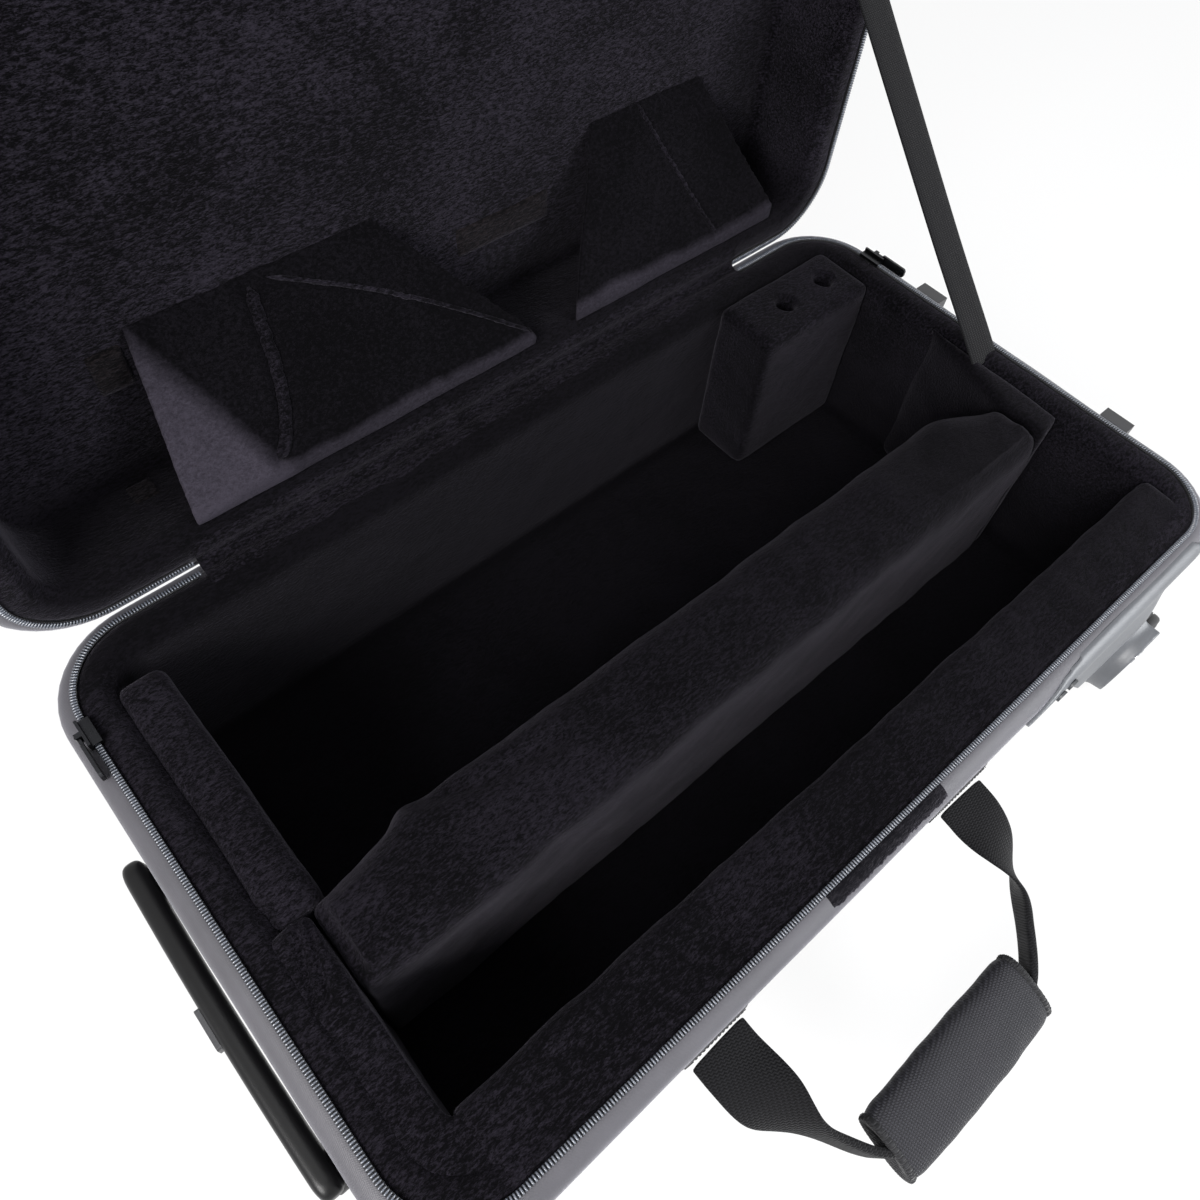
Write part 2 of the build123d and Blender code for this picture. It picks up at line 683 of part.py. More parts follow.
with BuildPart() as front_left_block:
    with BuildSketch(Plane.XY.offset(well_floor)):
        with Locations((-well_x + left_block_thickness / 2, (divider_back - well_y) / 2)):
            Rectangle(left_block_thickness, divider_back + well_y)
    extrude(amount=pad_top - well_floor)
    fillet(front_left_block.faces().sort_by(Axis.Z)[-1].edges().sort_by(Axis.X)[-1], pad_round)
    add(well_core(), mode=Mode.INTERSECT)
front_left_block.part.label = "front_left_block"
export_step(front_left_block.part, "parts/front_left_block.step")

with BuildPart() as front_pad:
    with BuildSketch(Plane.XY.offset(well_floor)):
        with Locations(((left_block_thickness + pad_gap) / 2, -well_y + front_pad_thickness / 2)):
            Rectangle(well_length - left_block_thickness - pad_gap, front_pad_thickness)
    extrude(amount=pad_top - well_floor)
    fillet(front_pad.faces().sort_by(Axis.Z)[-1].edges().sort_by(Axis.Y)[-1], pad_round)
    add(well_core(), mode=Mode.INTERSECT)
front_pad.part.label = "front_pad"
export_step(front_pad.part, "parts/front_pad.step")

with BuildPart() as divider_pad:
    divider_left = -well_x + left_block_thickness + pad_gap
    with BuildSketch(Plane.XY.offset(well_floor)):
        with BuildLine():
            Polyline(
                (divider_left, divider_front),
                (divider_right, divider_front),
                (divider_right, divider_back),
                (divider_bulge_right, divider_back + divider_bulge),
                (divider_bulge_left, divider_back + divider_bulge),
                (divider_left, divider_back + divider_left_bulge),
                close=True)
        make_face()
    extrude(amount=rim_height - lining_drop + divider_crown - well_floor)
    top_edges = divider_pad.faces().sort_by(Axis.Z)[-1].edges().filter_by(Axis.Y, reverse=True)
    fillet(top_edges, divider_round)
divider_pad.part.label = "divider_pad"
export_step(divider_pad.part, "parts/divider_pad.step")

with BuildPart() as right_gusset_pad:
    with BuildSketch(Plane.XY.offset(well_floor)):
        with BuildLine():
            Polyline(
                (divider_right + pad_gap, divider_front),
                (well_x, divider_front + divider_splay),
                (well_x, gusset_back),
                (divider_right + pad_gap, divider_back),
                close=True)
        make_face()
    extrude(amount=pad_top - well_floor)
    add(well_core(), mode=Mode.INTERSECT)
right_gusset_pad.part.label = "right_gusset_pad"
export_step(right_gusset_pad.part, "parts/right_gusset_pad.step")

with BuildPart() as mouthpiece_block:
    with BuildSketch(Plane.XY.offset(well_floor)):
        with Locations((well_x - mouthpiece_block_length / 2, well_y - mouthpiece_block_depth / 2)):
            Rectangle(mouthpiece_block_length, mouthpiece_block_depth)
    extrude(amount=pad_top - well_floor)
    fillet(mouthpiece_block.faces().sort_by(Axis.Z)[-1].edges().sort_by(Axis.Y)[0], pad_round)
    add(well_core(), mode=Mode.INTERSECT)
    with BuildSketch(Plane.XY.offset(pad_top - mouthpiece_hole_depth)):
        with Locations(*mouthpiece_holes):
            Circle(mouthpiece_hole_radius)
    extrude(amount=mouthpiece_hole_depth, mode=Mode.SUBTRACT)
mouthpiece_block.part.label = "mouthpiece_block"
export_step(mouthpiece_block.part, "parts/mouthpiece_block.step")

# ================================================================ zip and hinge on the base
with BuildPart() as base_zip_tape:
    add(zip_ring(Plane.XY.offset(rim_height - coil_edge - tape_height), tape_height, tape_thickness))
base_zip_tape.part.label = "base_zip_tape"
export_step(base_zip_tape.part, "parts/base_zip_tape.step")

with BuildPart() as base_zip_coil:
    add(zip_ring(Plane.XY.offset(rim_height - coil_edge), coil_height, coil_width, coil_outside))
base_zip_coil.part.label = "base_zip_coil"
export_step(base_zip_coil.part, "parts/base_zip_coil.step")

with BuildPart() as base_hinge_strip:
    add(block(
        (-hinge_strip_length / 2, hinge_strip_length / 2),
        (wall_y, wall_y + hinge_strip_thickness),
        (rim_height - wall_stop - hinge_strip_height, rim_height - wall_stop)))
base_hinge_strip.part.label = "base_hinge_strip"
export_step(base_hinge_strip.part, "parts/base_hinge_strip.step")

with BuildPart() as front_loop_strip:
    add(rounded_block(
        base_plane(cover_edge - loop_strip_thickness), body_length + 2 * loop_strip_thickness,
        body_width + 2 * loop_strip_thickness, body_radius + loop_strip_thickness, base_depth - wall_stop,
        shoulder - edge_relief + loop_strip_thickness))
    add(cover_outside(base_plane, base_depth, bottom_edge_radius), mode=Mode.SUBTRACT)
    add(block(loop_strip_ends, (-wall_y - shoulder, -zip_width / 2), loop_strip_heights), mode=Mode.INTERSECT)
front_loop_strip.part.label = "front_loop_strip"
export_step(front_loop_strip.part, "parts/front_loop_strip.step")

# ================================================================ wheels
with BuildPart() as front_wheel_pod:
    add(pod_cowl())
    add(wing_plate())
    add(front_screw_holes, mode=Mode.SUBTRACT)
    add(
        across_rod(wheel_x, wheel_z, -pod_inner_y, pod_outer_y - pod_inner_y, axle_radius),
        mode=Mode.SUBTRACT)
front_wheel_pod.part.label = "front_wheel_pod"
export_step(front_wheel_pod.part, "parts/front_wheel_pod.step")

with BuildPart() as back_wheel_pod:
    add(wing_plate().mirror(Plane.XZ))
    add(block((0, wall_x), (0, pod_outer_y), (0, back_wing_top)), mode=Mode.INTERSECT)
    add(pod_cowl().mirror(Plane.XZ))
    add(back_screw_holes, mode=Mode.SUBTRACT)
    add(
        across_rod(wheel_x, wheel_z, pod_outer_y, pod_outer_y - pod_inner_y, axle_radius),
        mode=Mode.SUBTRACT)
back_wheel_pod.part.label = "back_wheel_pod"
export_step(back_wheel_pod.part, "parts/back_wheel_pod.step")

with BuildPart() as pod_screws:
    add(wing_screw_rods(back_wing_screws, screw_head_radius, wall_y + wing_thickness, screw_head))
    add(wing_screw_rods(
        back_wing_screws, screw_radius, wall_y + wing_thickness - screw_length, screw_length))
    mirror(about=Plane.XZ, mode=Mode.REPLACE)
    add(wing_screw_rods(wing_screws, screw_head_radius, wall_y + wing_thickness, screw_head))
    add(wing_screw_rods(wing_screws, screw_radius, wall_y + wing_thickness - screw_length, screw_length))
pod_screws.part.label = "pod_screws"
export_step(pod_screws.part, "parts/pod_screws.step")

with BuildPart() as front_axle:
    add(across_rod(wheel_x, wheel_z, -pod_inner_y, pod_outer_y - pod_inner_y, axle_radius))
    add(across_rod(wheel_x, wheel_z, -pod_outer_y, axle_head, axle_head_radius))
front_axle.part.label = "front_axle"
export_step(front_axle.part, "parts/front_axle.step")

with BuildPart() as back_axle:
    add(front_axle.part.mirror(Plane.XZ))
back_axle.part.label = "back_axle"
export_step(back_axle.part, "parts/back_axle.step")

with BuildPart() as front_wheel_tyre:
    add(across_rod(wheel_x, wheel_z, -tyre_inner_face, tyre_width, wheel_radius, hub_radius))
    fillet(front_wheel_tyre.edges().filter_by(GeomType.CIRCLE).group_by(SortBy.RADIUS)[-1], tyre_round)
front_wheel_tyre.part.label = "front_wheel_tyre"
export_step(front_wheel_tyre.part, "parts/front_wheel_tyre.step")

with BuildPart() as back_wheel_tyre:
    add(front_wheel_tyre.part.mirror(Plane.XZ))
back_wheel_tyre.part.label = "back_wheel_tyre"
export_step(back_wheel_tyre.part, "parts/back_wheel_tyre.step")

with BuildPart() as front_wheel_hub:
    add(across_rod(wheel_x, wheel_z, -tyre_inner_face, tyre_width, hub_radius, bearing_outer_radius))
front_wheel_hub.part.label = "front_wheel_hub"
export_step(front_wheel_hub.part, "parts/front_wheel_hub.step")

with BuildPart() as back_wheel_hub:
    add(front_wheel_hub.part.mirror(Plane.XZ))
back_wheel_hub.part.label = "back_wheel_hub"
export_step(back_wheel_hub.part, "parts/back_wheel_hub.step")

with BuildPart() as front_wheel_bearings:
    add(across_rod(
        wheel_x, wheel_z, -tyre_inner_face, bearing_width, bearing_outer_radius, bearing_inner_radius))
    add(across_rod(
        wheel_x, wheel_z, -tyre_inner_face - tyre_width + bearing_width, bearing_width,
        bearing_outer_radius, bearing_inner_radius))
front_wheel_bearings.part.label = "front_wheel_bearings"
export_step(front_wheel_bearings.part, "parts/front_wheel_bearings.step")

with BuildPart() as back_wheel_bearings:
    add(front_wheel_bearings.part.mirror(Plane.XZ))
back_wheel_bearings.part.label = "back_wheel_bearings"
export_step(back_wheel_bearings.part, "parts/back_wheel_bearings.step")

# ================================================================ trolley
with BuildPart() as trolley_bezel:
    with BuildSketch(Plane.YZ.offset(-bezel_face)):
        with Locations((0, tube_z)):
            RectangleRounded(bezel_length, bezel_height, bezel_radius)
    extrude(amount=bezel_thickness)
    add(tube_pair(-bezel_face, bezel_thickness, outer_tube_radius), mode=Mode.SUBTRACT)
    add(bezel_screw_rods(screw_radius, -bezel_face, bezel_thickness), mode=Mode.SUBTRACT)
trolley_bezel.part.label = "trolley_bezel"
export_step(trolley_bezel.part, "parts/trolley_bezel.step")

with BuildPart() as bezel_screws:
    add(bezel_screw_rods(screw_head_radius, -bezel_face - screw_head, screw_head))
    add(bezel_screw_rods(screw_radius, -bezel_face, screw_length))
bezel_screws.part.label = "bezel_screws"
export_step(bezel_screws.part, "parts/bezel_screws.step")

with BuildPart() as trolley_outer_tubes:
    add(tube_pair(-bezel_face, outer_tube_length, outer_tube_radius, outer_tube_radius - tube_wall))
trolley_outer_tubes.part.label = "trolley_outer_tubes"
export_step(trolley_outer_tubes.part, "parts/trolley_outer_tubes.step")

with BuildPart() as trolley_end_bracket:
    add(block(
        (tube_end - bracket_length, tube_end + bracket_back),
        (-bracket_width / 2, bracket_width / 2),
        (board_top, floor_board_height)))
    add(tube_pair(tube_end - bracket_length, bracket_length, outer_tube_radius), mode=Mode.SUBTRACT)
trolley_end_bracket.part.label = "trolley_end_bracket"
export_step(trolley_end_bracket.part, "parts/trolley_end_bracket.step")

with BuildPart() as trolley_mid_tubes:
    add(tube_pair(-collar_face, mid_tube_length, mid_tube_radius, mid_tube_radius - tube_wall))
trolley_mid_tubes.part.label = "trolley_mid_tubes"
export_step(trolley_mid_tubes.part, "parts/trolley_mid_tubes.step")

with BuildPart() as trolley_mid_collars:
    add(tube_pair(-collar_face, collar_thickness, collar_radius, mid_tube_radius))
trolley_mid_collars.part.label = "trolley_mid_collars"
export_step(trolley_mid_collars.part, "parts/trolley_mid_collars.step")

with BuildPart() as trolley_inner_tubes:
    add(tube_pair(
        -bezel_face - grip_gap - grip_socket, inner_tube_length, inner_tube_radius,
        inner_tube_radius - tube_wall))
trolley_inner_tubes.part.label = "trolley_inner_tubes"
export_step(trolley_inner_tubes.part, "parts/trolley_inner_tubes.step")

with BuildPart() as trolley_grip:
    add(block(
        (-grip_face, -grip_face + grip_thickness),
        (-grip_length / 2, grip_length / 2),
        (grip_z - grip_height / 2, grip_z + grip_height / 2)))
    for side in (-1, 1):
        add(block(
            (-grip_face, -grip_face + grip_thickness),
            (side * tube_y - boss_radius, side * tube_y + boss_radius),
            (tube_z - boss_radius, grip_z)))
    fillet(trolley_grip.edges().filter_by(Axis.Y).sort_by(Axis.Z)[-2:], grip_round)
    add(tube_pair(
        -grip_face + grip_thickness - boss_overlap, boss_overlap + grip_gap - collar_thickness - 2 * fit_gap,
        boss_radius))
    add(tube_pair(-bezel_face - grip_gap - grip_socket, grip_socket + grip_gap, inner_tube_radius),
        mode=Mode.SUBTRACT)
    with BuildSketch(Plane.YZ.offset(-grip_face)):
        with Locations((0, grip_z)):
            RectangleRounded(
                button_length + 2 * button_pocket_gap, button_height + 2 * button_pocket_gap, button_corner)
    extrude(amount=button_depth + button_travel + button_pocket_gap, mode=Mode.SUBTRACT)
trolley_grip.part.label = "trolley_grip"
export_step(trolley_grip.part, "parts/trolley_grip.step")

with BuildPart() as trolley_button:
    with BuildSketch(Plane.YZ.offset(-grip_face - button_proud)):
        with Locations((0, grip_z)):
            RectangleRounded(button_length, button_height, button_corner - button_pocket_gap)
    extrude(amount=button_proud + button_depth)
trolley_button.part.label = "trolley_button"
export_step(trolley_button.part, "parts/trolley_button.step")

# ================================================================ carry handle
with BuildPart() as handle_patches:
    with BuildSketch(Plane.XZ.offset(wall_y)):
        with Locations(*[(handle_middle + side * handle_leg_spacing / 2, handle_root_z) for side in (-1, 1)]):
            RectangleRounded(handle_patch_width, handle_patch_height, pull_corner)
    extrude(amount=handle_patch_thickness)
handle_patches.part.label = "handle_patches"
export_step(handle_patches.part, "parts/handle_patches.step")

with BuildPart() as carry_handle_webbing:
    with BuildSketch(handle_plane.offset(-handle_root_thickness / 2)):
        with Locations(*[(side * handle_leg_spacing / 2, handle_root_length / 2) for side in (-1, 1)]):
            Rectangle(handle_root_width, handle_root_length)
    extrude(amount=handle_root_thickness)
    for side in (-1, 1):
        roll_start = handle_middle + side * handle_leg_spacing / 2 - handle_root_width / 2
        with BuildSketch(Plane.YZ.offset(roll_start)):
            with Locations((handle_plane.origin.Y, handle_plane.origin.Z)):
                Circle(handle_root_thickness / 2)
        extrude(amount=handle_root_width)
    with BuildSketch(handle_plane.offset(-leg_fold_thickness / 2)):
        with BuildLine():
            Polyline(*leg_path)
        trace(line_width=leg_fold)
    extrude(amount=leg_fold_thickness)
carry_handle_webbing.part.label = "carry_handle_webbing"
export_step(carry_handle_webbing.part, "parts/carry_handle_webbing.step")

with BuildPart() as carry_handle_wrap:
    with BuildSketch(handle_plane.offset(-handle_wrap_thickness / 2)):
        with Locations((0, handle_wrap_out)):
            Rectangle(handle_wrap_length, handle_wrap_width)
    extrude(amount=handle_wrap_thickness)
    fillet(carry_handle_wrap.edges(), handle_wrap_round)
    add(carry_handle_webbing.part, mode=Mode.SUBTRACT)
carry_handle_wrap.part.label = "carry_handle_wrap"
export_step(carry_handle_wrap.part, "parts/carry_handle_wrap.step")

# ================================================================ zip sliders and pulls
slider_y = zip_width / 2 - zip_corner_radius - slider_length / 2 - slider_park_gap
slider_face = zip_length / 2 + coil_outside + slider_side_gap + slider_leg
right_pin_plane = Plane(
    origin=(slider_face + pull_pin_out, slider_y, rim_height), x_dir=(0, 1, 0), z_dir=(1, 0, 0))

with BuildPart() as zip_slider_right:
    slider_ends = (slider_y - slider_length / 2, slider_y + slider_length / 2)
    inner_leg = zip_length / 2 + coil_outside - coil_width - slider_side_gap
    add(block(
        (slider_face - slider_leg, slider_face), slider_ends,
        (rim_height - slider_outer_half, rim_height + slider_outer_half)))
    add(block(
        (inner_leg - slider_leg, slider_face - slider_leg), slider_ends,
        (rim_height - slider_bridge / 2, rim_height + slider_bridge / 2)))
    add(block(
        (inner_leg - slider_leg, inner_leg), slider_ends,
        (rim_height - slider_inner_drop, rim_height)))
    add(pull_ears(right_pin_plane.location))
zip_slider_right.part.label = "zip_slider_right"
export_step(zip_slider_right.part, "parts/zip_slider_right.step")

with BuildPart() as zip_slider_left:
    add(zip_slider_right.part.mirror(Plane.YZ))
zip_slider_left.part.label = "zip_slider_left"
export_step(zip_slider_left.part, "parts/zip_slider_left.step")

with BuildPart() as zip_pull_right:
    add(pull_tab(right_pin_plane.location))
zip_pull_right.part.label = "zip_pull_right"
export_step(zip_pull_right.part, "parts/zip_pull_right.step")

with BuildPart() as zip_pull_left:
    add(zip_pull_right.part.mirror(Plane.YZ))
zip_pull_left.part.label = "zip_pull_left"
export_step(zip_pull_left.part, "parts/zip_pull_left.step")

# ================================================================ lid shell
with BuildPart() as lid_cover:
    add(cover_outside(lid_plane, lid_depth, lid_edge_radius))
    add(cover_inside(lid_plane, lid_depth, lid_edge_radius), mode=Mode.SUBTRACT)
    with BuildSketch(lid_plane(0)):
        RectangleRounded(zip_length, zip_width, zip_corner_radius)
    extrude(amount=wall_stop, mode=Mode.SUBTRACT)
lid_cover.part.label = "lid_cover"
export_step(lid_cover.part, "parts/lid_cover.step")

with BuildPart() as lid_frame:
    add(cover_inside(lid_plane, lid_depth, lid_edge_radius))
    with BuildSketch(lid_plane(0)):
        Rectangle(body_length, body_width)
    extrude(amount=wall_stop, mode=Mode.SUBTRACT)
    with BuildSketch(lid_plane(0)):
        RectangleRounded(tray_length, tray_width, tray_radius)
    extrude(amount=lid_tray_depth, mode=Mode.SUBTRACT)
lid_frame.part.label = "lid_frame"
export_step(lid_frame.part, "parts/lid_frame.step")

with BuildPart() as lid_lining:
    add(lining_tray(lid_plane, lid_tray_depth, lid_hollow))
lid_lining.part.label = "lid_lining"
export_step(lid_lining.part, "parts/lid_lining.step")

with BuildPart() as left_lid_pad:
    add(wedge_pad(left_pad_rim, left_pad_board))
    add(lid_core(), mode=Mode.INTERSECT)
left_lid_pad.part.label = "left_lid_pad"
export_step(left_lid_pad.part, "parts/left_lid_pad.step")

with BuildPart() as right_lid_pad:
    add(wedge_pad(right_pad_rim, right_pad_board))
    add(lid_core(), mode=Mode.INTERSECT)
right_lid_pad.part.label = "right_lid_pad"
export_step(right_lid_pad.part, "parts/right_lid_pad.step")

with BuildPart() as lid_loop_patches:
    with BuildSketch(lid_plane(lid_hollow - patch_thickness)):
        with Locations(board_patch_centre):
            Rectangle(*board_patch)
        with Locations(patch_strip_centre):
            Rectangle(*patch_strip)
    extrude(amount=patch_thickness)
    with BuildSketch(Plane(lid_location * Plane.XZ.offset(-well_y + patch_thickness).location)):
        with Locations(wall_patch_centre):
            Rectangle(*wall_patch)
    extrude(amount=-patch_thickness)
lid_loop_patches.part.label = "lid_loop_patches"
export_step(lid_loop_patches.part, "parts/lid_loop_patches.step")

with BuildPart() as lid_zip_tape:
    add(zip_ring(lid_plane(coil_edge), tape_height, tape_thickness))
lid_zip_tape.part.label = "lid_zip_tape"
export_step(lid_zip_tape.part, "parts/lid_zip_tape.step")

with BuildPart() as lid_zip_coil:
    add(zip_ring(lid_plane(rim_gap), coil_height, coil_width, coil_outside))
lid_zip_coil.part.label = "lid_zip_coil"
export_step(lid_zip_coil.part, "parts/lid_zip_coil.step")

with BuildPart() as lid_hinge_strip:
    with BuildSketch(lid_plane(wall_stop)):
        with Locations((0, wall_y + hinge_strip_thickness / 2)):
            Rectangle(hinge_strip_length, hinge_strip_thickness)
    extrude(amount=hinge_strip_height)
lid_hinge_strip.part.label = "lid_hinge_strip"
export_step(lid_hinge_strip.part, "parts/lid_hinge_strip.step")

with BuildPart() as lid_strap:
    with BuildSketch(Plane.YZ.offset(strap_x - strap_width / 2)):
        with BuildLine():
            Polyline(*strap_outline, close=True)
        make_face()
    extrude(amount=strap_width)
lid_strap.part.label = "lid_strap"
export_step(lid_strap.part, "parts/lid_strap.step")

with BuildPart() as hinge_gusset:
    with BuildSketch(Plane.YZ.offset(-gusset_length / 2)):
        with BuildLine():
            Polyline(*gusset_outline, close=True)
        make_face()
    extrude(amount=gusset_length)
hinge_gusset.part.label = "hinge_gusset"
export_step(hinge_gusset.part, "parts/hinge_gusset.step")

# ================================================================ lid pocket
with BuildPart() as lid_pocket:
    add(rounded_block(
        lid_plane(lid_depth), pocket_length, pocket_width, pocket_radius, pocket_height,
        far_round=pocket_round))
lid_pocket.part.label = "lid_pocket"
export_step(lid_pocket.part, "parts/lid_pocket.step")

with BuildPart() as pocket_zip_coil:
    with BuildSketch(lid_plane(lid_depth + pocket_height)):
        with Locations((0, pocket_zip_y)):
            Rectangle(pocket_zip_length, pocket_zip_width)
    extrude(amount=pocket_zip_height)
pocket_zip_coil.part.label = "pocket_zip_coil"
export_step(pocket_zip_coil.part, "parts/pocket_zip_coil.step")

pocket_pin_location = lid_location * Location((
    pocket_zip_length / 2 - slider_length, pocket_zip_y,
    lid_depth + pocket_height + pocket_zip_height + fit_gap + slider_leg + pull_pin_out))

with BuildPart() as pocket_slider:
    with BuildSketch(Plane(pocket_pin_location * Location((0, 0, -pull_pin_out - slider_leg)))):
        RectangleRounded(slider_length, pocket_zip_width + 2 * slider_leg, pull_corner)
    extrude(amount=slider_leg)
    add(pull_ears(pocket_pin_location))
pocket_slider.part.label = "pocket_slider"
export_step(pocket_slider.part, "parts/pocket_slider.step")

with BuildPart() as pocket_pull:
    add(pull_tab(pocket_pin_location))
pocket_pull.part.label = "pocket_pull"
export_step(pocket_pull.part, "parts/pocket_pull.step")
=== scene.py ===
"""Dressed model of a wheeled case for two brass instruments, lying open.

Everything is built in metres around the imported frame.  Sizes are written in millimetres and scaled once.
Both halves of the case are drawn in "rim" coordinates: x and y of the closed case and the depth below the
plane where base and lid meet.
"""
from __future__ import annotations

import json
import logging
import math
from dataclasses import dataclass, field
from enum import Enum
from typing import Any, Callable, Sequence

import bmesh
import bpy
import numpy as np
from mathutils import Matrix, Vector, noise

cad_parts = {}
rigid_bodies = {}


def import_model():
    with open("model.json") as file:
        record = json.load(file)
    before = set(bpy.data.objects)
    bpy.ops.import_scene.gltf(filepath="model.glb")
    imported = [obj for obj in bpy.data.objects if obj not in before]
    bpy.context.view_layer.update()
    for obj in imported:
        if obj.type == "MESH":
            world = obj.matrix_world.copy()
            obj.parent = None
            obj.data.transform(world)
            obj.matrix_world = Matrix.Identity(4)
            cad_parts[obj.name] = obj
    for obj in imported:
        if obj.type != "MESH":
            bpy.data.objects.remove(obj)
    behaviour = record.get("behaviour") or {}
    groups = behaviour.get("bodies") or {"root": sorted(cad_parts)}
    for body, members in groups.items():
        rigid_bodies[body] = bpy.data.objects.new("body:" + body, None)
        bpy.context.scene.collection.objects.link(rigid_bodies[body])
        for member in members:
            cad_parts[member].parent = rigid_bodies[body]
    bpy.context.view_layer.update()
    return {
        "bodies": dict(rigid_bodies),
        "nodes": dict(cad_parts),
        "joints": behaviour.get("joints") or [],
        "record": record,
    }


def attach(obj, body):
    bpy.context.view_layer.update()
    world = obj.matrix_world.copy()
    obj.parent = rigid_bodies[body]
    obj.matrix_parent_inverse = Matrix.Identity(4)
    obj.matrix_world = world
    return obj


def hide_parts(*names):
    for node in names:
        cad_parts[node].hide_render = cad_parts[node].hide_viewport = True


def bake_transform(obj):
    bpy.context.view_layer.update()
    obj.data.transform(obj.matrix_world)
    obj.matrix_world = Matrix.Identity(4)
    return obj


log = logging.getLogger("case")
Vec3 = tuple[float, float, float]
Row = Sequence[float]
Shape = tuple[np.ndarray, Sequence[Sequence[int]]]
MM = 0.001
RIM = 170.0             # height of the plane where base and lid meet, in millimetres
COVER_OUT = 10.0        # how far the cover stands outside the zip line
SHOULDER = 9.9          # radius of the cover's shoulder
SHOULDER_DEPTH = 12.9   # depth at which the shoulder has turned into the wall
HALF_WIDTH = 175.0      # from the middle plane to the cover's long walls
ZIP_HALF = 165.0        # from the middle plane to the zip line's long sides
LID_PLANE = 168.7       # how far behind the middle plane the open lid's rim stands
ALONG_X, ALONG_Y = (1.0, 0.0, 0.0), (0.0, 1.0, 0.0)


# ------------------------------------------------------------------ shader expressions
class Wire:
    """A socket of a material's tree, with the arithmetic that the finishes use."""

    def __init__(self, tree: bpy.types.NodeTree, socket: bpy.types.NodeSocket) -> None:
        """Keeps the tree and the socket."""
        self.tree = tree
        self.socket = socket

    def _math(self, operation: str, first: Any, second: Any, clamp: bool = False) -> "Wire":
        """Adds a Math node.

        Args:
            operation: The node's operation.
            first: Wire or number.
            second: Wire or number.
            clamp: Whether the result stays within 0 and 1.

        Returns:
            The result's wire.
        """
        settings = {"operation": operation, "use_clamp": clamp}
        return self.node("ShaderNodeMath", settings, {0: first, 1: second})

    def node(self, kind: str, settings: dict[str, Any], inputs: dict[Any, Any], output: Any = 0) -> "Wire":
        """Adds any node to the tree.

        Args:
            kind: The node's type.
            settings: Properties, set first.
            inputs: Socket names or places with a value or a wire each.
            output: Name or place of the socket that is returned.

        Returns:
            The wire of the chosen output.
        """
        made = self.tree.nodes.new(kind)
        for name, value in settings.items():
            setattr(made, name, value)
        for name, value in inputs.items():
            if isinstance(value, Wire):
                self.tree.links.new(value.socket, made.inputs[name])
            else:
                made.inputs[name].default_value = value
        return Wire(self.tree, made.outputs[output])

    def __add__(self, other: Any) -> "Wire":
        """Sum."""
        return self._math("ADD", self, other)

    __radd__ = __add__

    def __mul__(self, other: Any) -> "Wire":
        """Product."""
        return self._math("MULTIPLY", self, other)

    __rmul__ = __mul__

    def __sub__(self, other: Any) -> "Wire":
        """Difference."""
        return self._math("SUBTRACT", self, other)

    def __rsub__(self, other: Any) -> "Wire":
        """Difference, the other way round."""
        return self._math("SUBTRACT", other, self)

    def clamped(self) -> "Wire":
        """The value held within 0 and 1."""
        return self._math("ADD", self, 0.0, True)

    def wave(self, pitch: float) -> "Wire":
        """A sine of the value.

        Args:
            pitch: Length of one wave in the value's unit.

        Returns:
            The sine, from -1 to 1.
        """
        return self._math("SINE", self * (2 * math.pi / pitch), 0.0)

    def axis(self, name: str) -> "Wire":
        """One coordinate of a vector wire."""
        return self.node("ShaderNodeSeparateXYZ", {}, {0: self}, name)

    def stretched(self, scale: Vec3, turn: Vec3 = (0.0, 0.0, 0.0)) -> "Wire":
        """A vector wire scaled and turned."""
        return self.node("ShaderNodeMapping", {}, {"Vector": self, "Scale": scale, "Rotation": turn})

    def grain(self, scale: float, detail: float = 2.0, rough: float = 0.5, warp: float = 0.0) -> "Wire":
        """Noise over a vector wire.

        Args:
            scale: Waves per metre.
            detail: Octaves.
            rough: Weight of the small octaves.
            warp: Distortion.

        Returns:
            The noise, from 0 to 1.
        """
        return self.node("ShaderNodeTexNoise", {}, {
            "Vector": self, "Scale": scale, "Detail": detail, "Roughness": rough, "Distortion": warp})

    def between(self, dark: "Row | Wire", light: Row) -> "Wire":
        """A colour between two, by this value; the first may be a wire.

        Args:
            dark: The colour at 0, or its wire.
            light: The colour at 1.

        Returns:
            The colour's wire.
        """
        first = dark if isinstance(dark, Wire) else (*dark, 1.0)
        inputs = {0: self.clamped(), 6: first, 7: (*light, 1.0)}
        return self.node("ShaderNodeMix", {"data_type": "RGBA"}, inputs, 2)

    def bump(self, depth: float, strength: float = 1.0) -> "Wire":
        """A Bump node over this height, in metres."""
        return self.node("ShaderNodeBump", {}, {"Height": self, "Distance": depth, "Strength": strength})


class Finish:
    """Base of every finish: makes its material once and keeps it."""

    title: str
    made: dict[str, bpy.types.Material] = {}

    def material(self) -> bpy.types.Material:
        """The finish's material, made at first use.

        Returns:
            The material.
        """
        key = repr(self)
        if key not in Finish.made:
            material = bpy.data.materials.new(self.title)
            material.use_nodes = True
            tree = material.node_tree
            coordinates = tree.nodes.new("ShaderNodeTexCoord")
            self.build(tree.nodes["Principled BSDF"], Wire(tree, coordinates.outputs["Object"]))
            Finish.made[key] = material
        return Finish.made[key]

    def build(self, shader: bpy.types.Node, place: Wire) -> None:
        """Links the finish's wires to the shader.

        Args:
            shader: The material's Principled BSDF node.
            place: The wire of the object's coordinates.
        """
        raise NotImplementedError

    @staticmethod
    def link(shader: bpy.types.Node, **wires: Any) -> None:
        """Sets or links the shader's sockets by name, with underscores for spaces.

        Args:
            shader: The node.
            wires: A value or a wire for each socket.
        """
        for name, value in wires.items():
            socket = shader.inputs[name.replace("_", " ")]
            if isinstance(value, Wire):
                value.tree.links.new(value.socket, socket)
            else:
                socket.default_value = value


